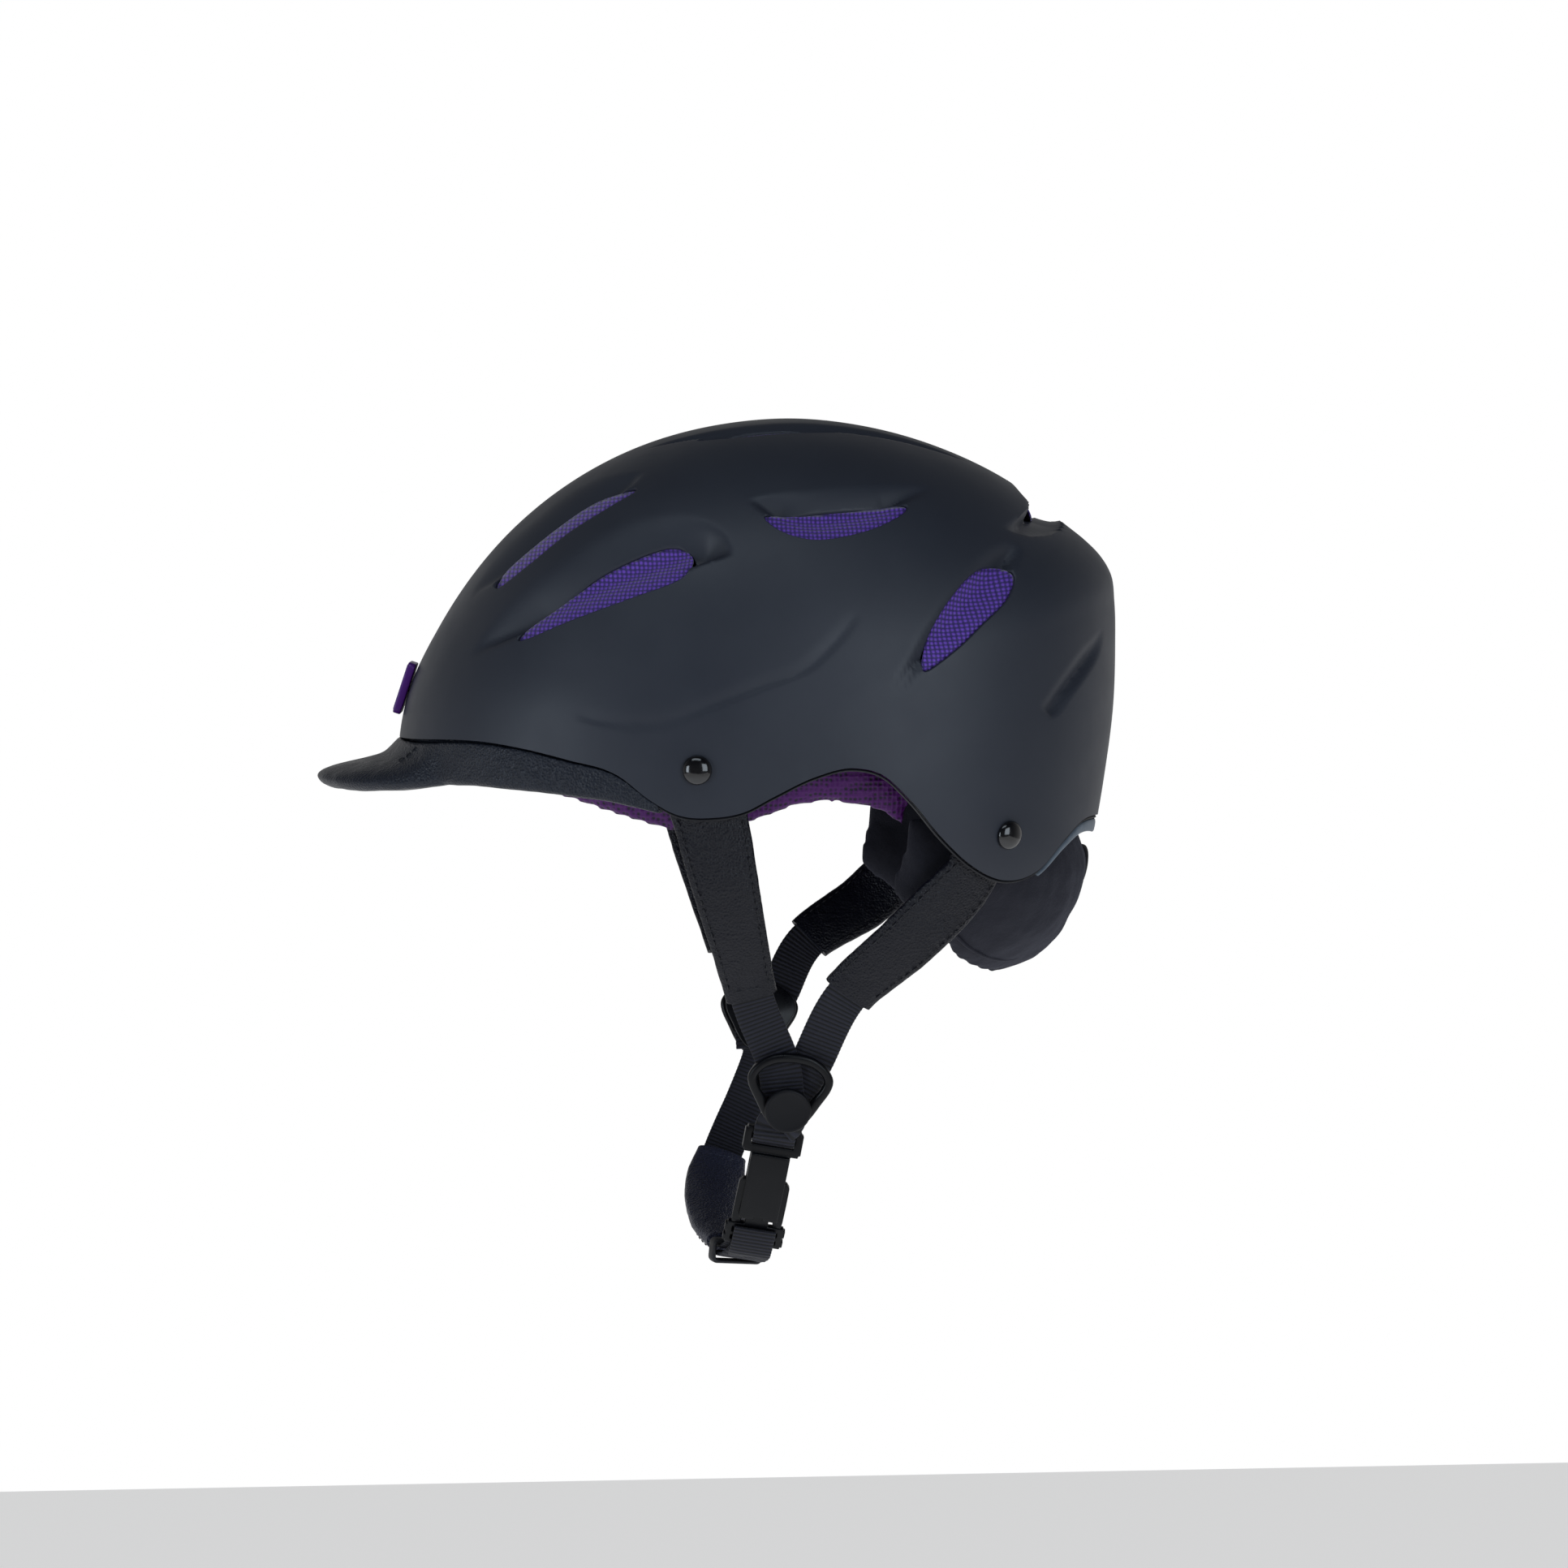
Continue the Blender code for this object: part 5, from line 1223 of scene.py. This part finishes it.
def harness_routes(side):
    """Webbing routes of one side, as (points, facing normals), in true coordinates."""
    web = SHELL_WALL + TOUCH + WEB_THICK / 2
    sleeve = SHELL_WALL + TOUCH + SLEEVE_THICK / 2 + 0.2
    left = side > 0
    centre = LEFT_DIVIDER if left else Vector((-RIGHT_DIVIDER.x, *RIGHT_DIVIDER[1:]))
    local = divider_frame(centre, 1)
    out = (local.to_3x3() @ Vector((0, 0, 1))).normalized()
    front_normal, rear_normal = (Vector(shell_normals(lift("side", [spot]))[0])
                                 for spot in (FRONT_RIVET, REAR_RIVET))
    front = [under_shell(-26.5, 12.5, web), under_shell(*FRONT_RIVET, web),
             under_shell(-23.4, -5.0, sleeve), under_shell(-20.8, -14.0, sleeve + 0.6),
             Vector((92.5, -15.0, -36.0)), Vector((83.0, -9.0, -60.0)),
             Vector((70.5, -3.0, -83.0) if left else (71.0, -3.5, -79.0)),
             local @ Vector((-5.6, 17.5, 0)), local @ Vector((-2.5, 6.0, 0))]
    front_out = [front_normal] * 3 + [Vector((0.99, -0.05, -0.1))] * 2 \
        + [Vector((0.96, 0, -0.25))] * 2 + [out] * 2
    low = Vector((70.0, 30.5, -80.5)) if left else Vector((71.0, 27.0, -75.0))
    rear = [under_shell(93.5, -13.5, web + 0.8), under_shell(*REAR_RIVET, web + 0.6),
            under_shell(82.0, -27.0, sleeve + 1.8), Vector((81.5, 73.5, -37.0)),
            Vector((79.5, 53.0, -58.5)), low,
            local @ Vector((7.4, 17.0, -1.9)), local @ Vector((2.0, 4.0, -1.9))]
    rear_out = [rear_normal] * 3 + [Vector((0.88, 0.35, -0.3)), Vector((0.93, 0.15, -0.3)),
                                    Vector((0.96, 0, -0.25)), out, out]
    if left:
        front += [local @ Vector((-0.4, -5.5, 0)), buckle_point(4.2, 0.0, 3.4),
                  buckle_point(6.4, 0.0, 3.1), buckle_point(7.75, 0.0, 1.0),
                  buckle_point(7.3, 0.0, -2.0), buckle_point(5.6, 0.0, -3.4)]
        front_out += [out, buckle_normal(5.0), buckle_normal(16.0), buckle_normal(80.0),
                      buckle_normal(150.0), buckle_normal(185.0)]
        return front, front_out, rear, rear_out
    front += [local @ Vector((-0.4, -6.5, 0))]
    front_out += [out]
    return [mirrored([tuple(p) for p in points]) for points in (front, front_out, rear, rear_out)]


def strap_frames(route, normals, spacing):
    """Evenly spaced centres, across and normal vectors along a strap's route."""
    centres = smooth_path(route, 900)
    facing = smooth_path(normals, 900)
    run = run_along(centres)
    places = np.arange(0, run[-1], spacing)
    centres = np.stack([np.interp(places, run, centres[:, k]) for k in range(3)], 1)
    facing = np.stack([np.interp(places, run, facing[:, k]) for k in range(3)], 1)
    tangents = unit(np.gradient(centres, axis=0))
    across = unit(np.cross(facing, tangents))
    return centres, across, np.cross(tangents, across)


def flat_section(width, thick, count=24, power=5.0):
    """Rounded flat section, as (across, out) pairs."""
    turns = (np.arange(count) + 0.5) * math.tau / count
    c, s = np.cos(turns), np.sin(turns)
    return np.column_stack([np.sign(c) * np.abs(c) ** (2 / power) * width / 2,
                            np.sign(s) * np.abs(s) ** (2 / power) * thick / 2])


def ribbed_strap(name, route, normals, body, nodes):
    """Webbing with a rounded rib every RIB_PITCH."""
    steps = 5
    centres, across, out = strap_frames(route, normals, RIB_PITCH / steps)
    section = flat_section(WEB_WIDTH, WEB_THICK)
    phase = np.arange(len(centres)) / steps
    swell = 0.5 + 0.5 * np.cos(phase * math.tau)
    rings = []
    for centre, side, normal, rise in zip(centres, across, out, swell):
        flat = section * [1 - 0.012 * (1 - rise), 0.76 + 0.34 * rise]
        rings.append(centre + flat[:, :1] * side + flat[:, 1:] * normal)
    loft(name, rings, WEBBING, body, "webbing", nodes)


def leather_sleeve(name, centres, across, out, widths, thick, body, node, material=LEATHER,
                   swell=0.35, folds=0.18):
    """Padded leather sleeve with rolled edges and a turned hem at its lower end."""
    count = len(centres)
    span = smooth_path([(w, 0, 0) for w in widths], count)[:, 0]
    run = run_along(centres)
    hem = 1 + 0.10 * fade(run, run[-1] - 5.2, run[-1] - 4.6) + 0.06 * (1 - fade(run, 3.0, 4.0))
    rings = []
    for i in range(count):
        flat = flat_section(span[i], thick, 40, 3.2)
        crown = 1 - (flat[:, 0] / (span[i] / 2 - SLEEVE_FLANGE)) ** 2
        puff = 1 + 0.35 * swell * np.maximum(crown, 0)
        flat = flat * np.column_stack([np.ones(40), puff * hem[i]])
        rings.append(centres[i] + flat[:, :1] * across[i] + flat[:, 1:] * out[i])
    slot = flat_section(WEB_WIDTH + 2 * TOUCH, WEB_THICK + 2 * TOUCH, 40, 5.0)
    upper, lower = (slot[:, :1] * across[i] + slot[:, 1:] * out[i] for i in (0, -1))
    deep = 6
    rings = [centres[deep] + upper, centres[0] + upper, *rings, centres[-1] + lower,
             centres[-1 - deep] + lower]
    sleeve = loft(name, rings, material, body, "leather", [node])
    wrinkle(sleeve, folds, 9.0)
    crease(sleeve, 50)


def sleeve_stitches(name, centres, across, out, widths, thick, body, margin=2.1, faces=(1, -1)):
    """Stitch rows near both edges of a sleeve and across its hem."""
    span = smooth_path([(w, 0, 0) for w in widths], len(centres))[:, 0]
    lines, facings = [], []
    for face in faces:
        rise = thick / 2 * 0.93
        for edge in (-1, 1):
            line = centres + across * (edge * (span / 2 - margin))[:, None] + out * face * rise
            lines.append(line[3:-4])
            facings.append((out * face)[3:-4])
        end = -7
        hem = [centres[end] + across[end] * w + out[end] * face * rise * 1.13
               for w in np.linspace(-span[end] / 2 + margin + 1.5, span[end] / 2 - margin - 1.5, 12)]
        lines.append(hem)
        facings.append([out[end] * face] * 12)
    add_stitches(name, lines, facings, body)


def between(frames, top, bottom):
    """The stretch of a strap's frames between two heights."""
    centres, across, out = frames
    kept = (centres[:, 2] <= top) & (centres[:, 2] >= bottom)
    return centres[kept], across[kept], out[kept]


def build_harness():
    for side, word in ((1, "left"), (-1, "right")):
        front, front_out, rear, rear_out = harness_routes(side)
        ribbed_strap(f"front_strap_{word}", front, front_out, "helmet", [f"front_webbing_{word}"])
        ribbed_strap(f"rear_strap_{word}", rear, rear_out, "helmet", [f"rear_webbing_{word}"])
        low_front, low_rear = (-80.0, -80.0) if side > 0 else (-77.0, -74.5)
        for kind, route, normals, top, low, widths in (
                ("front", front, front_out, -6.5, low_front, FRONT_SLEEVE_WIDTHS),
                ("rear", rear, rear_out, -29.5, low_rear, REAR_SLEEVE_WIDTHS)):
            name = f"{kind}_sleeve_{word}"
            part = between(strap_frames(route, normals, 0.8), top, low)
            leather_sleeve(f"soft_{name}", *part, widths, SLEEVE_THICK, "helmet", name)
            sleeve_stitches(f"{name}_stitches", *part, widths, SLEEVE_THICK, "helmet")


# ---------------------------------------------------------------- dividers
DIVIDER_OUTLINE = [(0, 21.3), (7, 20.4), (12.5, 17), (15.6, 12.5), (15.2, 8), (12, 2),
                   (8.5, -4), (5, -7.8), (0, -8.8)]
DIVIDER_WINDOW = [(0, 17.8), (6, 17), (10.3, 14.6), (12.3, 11.4), (11.6, 8.4), (9.2, 4.6),
                  (6.6, 1.6), (3.6, 0.6), (0, 0.4)]


def both_halves(half):
    return half + [(-u, v) for u, v in half[-2:0:-1]]


def build_dividers():
    outline = smooth_path(both_halves(DIVIDER_OUTLINE), 96, closed=True)
    window = smooth_path(both_halves(DIVIDER_WINDOW), 96, closed=True)
    for side, word, centre in ((1, "left", LEFT_DIVIDER), (-1, "right", RIGHT_DIVIDER)):
        local = divider_frame(centre, side)
        soft_ring(f"divider_rim_{word}", local, outline, window, 1.0, 4.2, PLASTIC, "helmet",
                  "buckle_plastic", [f"divider_frame_{word}"], 2.6)
        soft_plate(f"divider_base_{word}", local, outline * 0.9 + [0, 0.8], -4.7, -3.2, PLASTIC,
                   "helmet", "buckle_plastic", [f"divider_back_{word}"], 0.4)
        axis = local.to_3x3() @ Vector((0, 0, 1))
        r = DISC_RADIUS
        face = [(0, 4.35), (r - 0.7, 4.35), (r - 0.1, 4.7), (r, 5.4), (r - 0.1, 6.3),
                (r - 0.45, 6.75), (r - 0.9, 6.9), (r - 1.5, 6.75), (r - 2.2, 6.6), (0, 6.55)]
        disc = turned(f"divider_disc_{word}", local.translation, axis, face, DISC,
                      f"lock_{word}", "buckle_plastic", [f"divider_lock_{word}"], 96)
        crease(disc, 60)


# ---------------------------------------------------------------- buckle and chin strap
def buckle_point(angle, offset, rise):
    """Point on the buckle's arc: angle in degrees, offset along the hinge, rise outwards."""
    turn = math.radians(angle)
    down = Vector((0, -math.sin(CHIN_LEAN), -math.cos(CHIN_LEAN)))
    hinge = Vector((0, math.cos(CHIN_LEAN), -math.sin(CHIN_LEAN)))
    ray = Vector((1, 0, 0)) * math.cos(turn) + down * math.sin(turn)
    return CHIN_PIVOT + ray * (BUCKLE_RADIUS + rise) + hinge * offset


def buckle_normal(angle):
    return (buckle_point(angle, 0, 1) - buckle_point(angle, 0, 0)).normalized()


def filled(breaks, step):
    """Axis breaks with every interval split into steps no longer than step."""
    result = [breaks[0]]
    for a, b in zip(breaks, breaks[1:]):
        count = max(1, math.ceil((b - a) / step))
        result += [a + (b - a) * (k + 1) / count for k in range(count)]
    return result


def cell_piece(name, breaks, solid, body, nodes, bevel):
    """Curved moulding from the filled cells of a grid on the buckle's arc, edges rounded."""
    counts = [len(axis) - 1 for axis in breaks]
    middles = [[(a + b) / 2 for a, b in zip(axis, axis[1:])] for axis in breaks]
    full = {(i, j, k) for i in range(counts[0]) for j in range(counts[1])
            for k in range(counts[2]) if solid(middles[0][i], middles[1][j], middles[2][k])}
    sides = [((1, 0, 0), ((1, 0, 0), (1, 1, 0), (1, 1, 1), (1, 0, 1))),
             ((-1, 0, 0), ((0, 0, 0), (0, 0, 1), (0, 1, 1), (0, 1, 0))),
             ((0, 1, 0), ((0, 1, 0), (0, 1, 1), (1, 1, 1), (1, 1, 0))),
             ((0, -1, 0), ((0, 0, 0), (1, 0, 0), (1, 0, 1), (0, 0, 1))),
             ((0, 0, 1), ((0, 0, 1), (1, 0, 1), (1, 1, 1), (0, 1, 1))),
             ((0, 0, -1), ((0, 0, 0), (0, 1, 0), (1, 1, 0), (1, 0, 0)))]
    index, points, faces = {}, [], []
    for cell in sorted(full):
        for step, ring in sides:
            if tuple(a + b for a, b in zip(cell, step)) in full:
                continue
            face = []
            for corner in ring:
                key = tuple(a + b for a, b in zip(cell, corner))
                if key not in index:
                    index[key] = len(points)
                    points.append(tuple(buckle_point(*(breaks[n][v] for n, v in enumerate(key)))))
                face.append(index[key])
            faces.append(face)
    piece = add_piece(name, points, faces, PLASTIC, body, "buckle_plastic", nodes)
    return round_edges(piece, bevel)


def socket_solid(angle, offset, rise):
    """Filled cells of the buckle's socket half: loop, neck, two plates and latch posts."""
    offset = abs(offset)
    if angle < 9.9:
        if offset > 10.2 and not 5.4 < angle < 9.4:
            return False
        return abs(rise) < 1.9 and not (6.1 < angle < 8.3 and offset < 8.1)
    if offset > 7.3:
        return False
    if angle < 11.6:
        return True
    if 13.6 < angle < 15.0 and offset > 5.7:
        return True
    if rise > 0 and angle > 22.7 and offset < 1.6:
        return False
    return abs(rise) > 1.9


def ladder_solid(angle, offset, _rise):
    """Filled cells of the other half: a tongue that reaches into the socket, and three bars."""
    if angle < 25.15:
        return abs(offset) < 4.4
    slot = 26.1 < angle < 27.2 or 28.1 < angle < 29.0
    corner = abs(offset) > 10.6 and (angle < 25.6 or angle > 29.45 or 27.2 < angle < 28.1)
    return not (slot and abs(offset) < 8.4) and not corner


PRONG = [(24.95, 9.4), (23.6, 9.6), (20.0, 9.6), (16.2, 9.5), (15.4, 8.2), (15.3, 5.3),
         (13.4, 5.3), (13.25, 7.3), (12.0, 5.0), (12.0, 3.3), (14.5, 3.2), (19.0, 4.2),
         (23.0, 5.6), (24.95, 6.2)]


def build_buckle():
    angles = filled([4.9, 5.4, 6.1, 7.2, 8.3, 9.4, 9.9, 11.6, 13.6, 15.0, 17.1, 19.2, 22.7, 23.3],
                    0.75)
    offsets = [-11, -10.2, -8.1, -7.3, -5.7, -1.6, 1.6, 5.7, 7.3, 8.1, 10.2, 11]
    cell_piece("socket", [angles, offsets, [-3.4, -1.9, 1.9, 3.4]], socket_solid, "helmet",
               ["buckle_socket"], 0.55)
    angles = filled([22.4, 25.15, 25.6, 26.1, 27.2, 28.1, 29.0, 29.45, 29.9], 0.6)
    cell_piece("ladder", [angles, [-11.4, -10.6, -8.4, -4.4, 4.4, 8.4, 10.6, 11.4], [-1.4, 1.4]],
               ladder_solid, "chin_strap", ["buckle_ladder"], 0.5)
    for side, word in ((1, "rear"), (-1, "front")):
        rings = [[buckle_point(a, side * o, rise) for a, o in PRONG]
                 for rise in (-1.5, 1.5)]
        prong = loft(f"prong_{word}", rings, PLASTIC, f"prong_{word}", "buckle_plastic",
                     [f"buckle_prong_{word}"])
        round_edges(prong, 0.35, 30)


CHIN_ROUTE = [(-57.6, 1.5, -137), (-52.5, -4.5, -149), (-45, -9, -158), (-34, -12, -166),
              (-20, -13, -172.5), (-5, -11.5, -178), (10, -9, -181.5), (22, -6.5, -182.5),
              (31.5, -4.2, -179.8)]
CHIN_OUT = [(-0.97, -0.1, -0.25), (-0.9, -0.1, -0.42), (-0.75, -0.12, -0.62),
            (-0.5, -0.15, -0.85), (-0.35, -0.15, -0.92), (-0.28, -0.15, -0.95),
            (-0.1, -0.15, -0.98), (0.2, -0.15, -0.97), (0.7, -0.15, -0.7)]
CHIN_PAD_START, CHIN_PAD_END = 24 / 79, 58 / 79     # share of the strap's samples
KEEPER_SPOT = Vector((21.8, -7.2, -183.5))
CHIN_OVERLAP = Vector((-0.6, 0.6, 6.5))     # how far the webbing runs up over its hinge bar


def build_chin_strap():
    route = [CHIN_PIVOT] + [Vector(p) for p in CHIN_ROUTE] + [buckle_point(26.4, 0, -2.8)]
    normals = [Vector((-0.98, 0, -0.2))] + [Vector(p) for p in CHIN_OUT] + [buckle_normal(26.4)]
    ribbed_strap("chin_strap_web", [CHIN_PIVOT + CHIN_OVERLAP] + route, [normals[0]] + normals,
                 "chin_strap", ["chin_webbing"])
    centres = smooth_path(route, 400)
    first, last = (round(s * 399) for s in (CHIN_PAD_START, CHIN_PAD_END))
    whole = strap_frames(route, normals, 0.6)
    run = np.linalg.norm(whole[0] - centres[first], axis=1).argmin()
    stop = np.linalg.norm(whole[0] - centres[last], axis=1).argmin()
    part = tuple(values[run:stop] for values in whole)
    leather_sleeve("soft_chin_pad", *part, CHIN_PAD_WIDTHS, CHIN_PAD_THICK, "chin_strap",
                   "chin_pad", PAD_LEATHER_PAINTED_LIGHT, 0.5, 0.22)
    sleeve_stitches("chin_pad_stitches", *part, CHIN_PAD_WIDTHS, CHIN_PAD_THICK, "chin_strap",
                    2.0, (1,))
    fold = [buckle_point(25.5, 0, 3.0), buckle_point(27.6, 0, 3.1), buckle_point(29.8, 0, 2.9),
            buckle_point(32.0, 0, 1.8), buckle_point(33.6, 0, -2.2), Vector((26, -6.6, -184.9)),
            Vector((17.2, -8.6, -185.2))]
    out = [buckle_normal(25.5), buckle_normal(27.6), buckle_normal(29.8), buckle_normal(36),
           Vector((0.75, -0.15, -0.65)), Vector((0.2, -0.15, -0.97)), Vector((-0.1, -0.15, -0.98))]
    ribbed_strap("strap_tail_web", fold, out, "chin_strap", ["strap_tail"])


def build_keeper():
    """Rubber ring that holds the webbing's tail under the strap."""
    tangent = Vector((0.97, 0.25, 0.02)).normalized()
    across = Vector((-0.25, 0.96, -0.1)).normalized()
    matrix = axes_matrix(KEEPER_SPOT, across, tangent.cross(across).normalized(), tangent)
    soft_ring("keeper", matrix, rounded_outline(10.0, 4.7, 2.0), rounded_outline(8.5, 3.2, 1.4),
              -3.2, 3.2, RUBBER, "chin_strap", "rubber", ["strap_keeper"], 4.0)


# ---------------------------------------------------------------- studio
def area_light(name, spot, aim, size, power):
    light = bpy.data.lights.new(name, "AREA")
    light.shape = "RECTANGLE"
    light.size, light.size_y = size
    light.energy = power
    light.color = LIGHT_TINT
    lamp = link_object(name, light)
    lamp.location = spot
    lamp.rotation_euler = (Vector(aim) - Vector(spot)).to_track_quat("-Z", "Y").to_euler()


WORLD_BEHIND, WORLD_FRONT, WORLD_ABOVE = 0.5, 0.09, 0.14
LIGHT_TINT = (0.80, 0.90, 1.0)
FLOOR_HALF, FLOOR_DROP = 3.0, 0.9       # metres; the floor lies well below the hanging helmet


def build_studio():
    floor_mesh = bpy.data.meshes.new("floor")
    half, height = FLOOR_HALF, CAD_LOW.z - FLOOR_DROP
    floor_mesh.from_pydata([(-half, -half, height), (half, -half, height), (half, half, height),
                            (-half, half, height)], [], [(0, 1, 2, 3)])
    pale = bpy.data.materials.new("pale_floor")
    pale.use_nodes = True
    shader = pale.node_tree.nodes["Principled BSDF"]
    shader.inputs["Base Color"].default_value = (0.93, 0.93, 0.94, 1)
    shader.inputs["Roughness"].default_value = 0.9
    shader.inputs["Emission Color"].default_value = (1, 1, 1, 1)
    shader.inputs["Emission Strength"].default_value = 0.55
    floor_mesh.materials.append(pale)
    link_object("floor", floor_mesh)
    build_world()
    bpy.context.scene.view_settings.view_transform = "Standard"
    area_light("side", (1.5, 0.8, 0.25), (0, 0, 0), (0.9, 1.0), 9)
    area_light("front", (1.0, -1.4, 0.0), (0, 0, -0.05), (0.5, 0.8), 6)
    area_light("above", (0.9, -0.3, 1.3), (0, 0, 0.05), (1.2, 0.5), 4)


def build_world():
    """White to the camera; as light it is bright from the wearer's right and dim from above."""
    world = bpy.data.worlds.new("studio")
    world.use_nodes = True
    tree = world.node_tree
    link = tree.links.new

    def ranged(value, start, end, low, high):
        made = tree.nodes.new("ShaderNodeMapRange")
        for socket, number in zip(("From Min", "From Max", "To Min", "To Max"),
                                  (start, end, low, high)):
            made.inputs[socket].default_value = number
        link(value, made.inputs["Value"])
        return made.outputs["Result"]

    background = tree.nodes["Background"]
    background.inputs["Color"].default_value = (1, 1, 1, 1)
    split = tree.nodes.new("ShaderNodeSeparateXYZ")
    link(tree.nodes.new("ShaderNodeTexCoord").outputs["Generated"], split.inputs[0])
    both = tree.nodes.new("ShaderNodeMath")
    both.operation = "MULTIPLY"
    link(ranged(split.outputs["X"], -0.5, 0.4, WORLD_BEHIND, WORLD_FRONT), both.inputs[0])
    link(ranged(split.outputs["Z"], 0.0, 0.8, 1.0, WORLD_ABOVE), both.inputs[1])
    pick = tree.nodes.new("ShaderNodeMix")
    pick.inputs[3].default_value = 1.0
    link(tree.nodes.new("ShaderNodeLightPath").outputs["Is Camera Ray"], pick.inputs[0])
    link(both.outputs[0], pick.inputs[2])
    link(pick.outputs[0], background.inputs["Strength"])
    bpy.context.scene.world = world


CAMERA_AIM = Vector((0.0, 0.0128, -0.0066))
CAMERA_FAR = 1.3
CAMERA_LENS = 77.5
CAMERA_HEADING = math.radians(4.0)      # the camera stands this far forward of the side view
CAMERA_RISE = math.radians(3.5)


def build_camera():
    camera = link_object("camera", bpy.data.cameras.new("camera"))
    back = Vector((math.cos(CAMERA_RISE) * math.cos(CAMERA_HEADING),
                   -math.cos(CAMERA_RISE) * math.sin(CAMERA_HEADING), math.sin(CAMERA_RISE)))
    camera.location = CAMERA_AIM + back * CAMERA_FAR
    camera.rotation_euler = (-back).to_track_quat("-Z", "Y").to_euler()
    camera.data.sensor_width = 36.0
    camera.data.lens = CAMERA_LENS
    camera.data.clip_start = 0.01
    bpy.context.scene.camera = camera


def main():
    build_shell()
    build_vent_meshes()
    build_liner()
    build_edge_trim()
    build_rear_trim()
    build_brim()
    build_badge()
    build_pads()
    build_nape_patch()
    build_nape_seam()
    build_rivets()
    build_harness()
    build_dividers()
    build_buckle()
    build_chin_strap()
    build_keeper()
    build_studio()
    build_camera()


main()
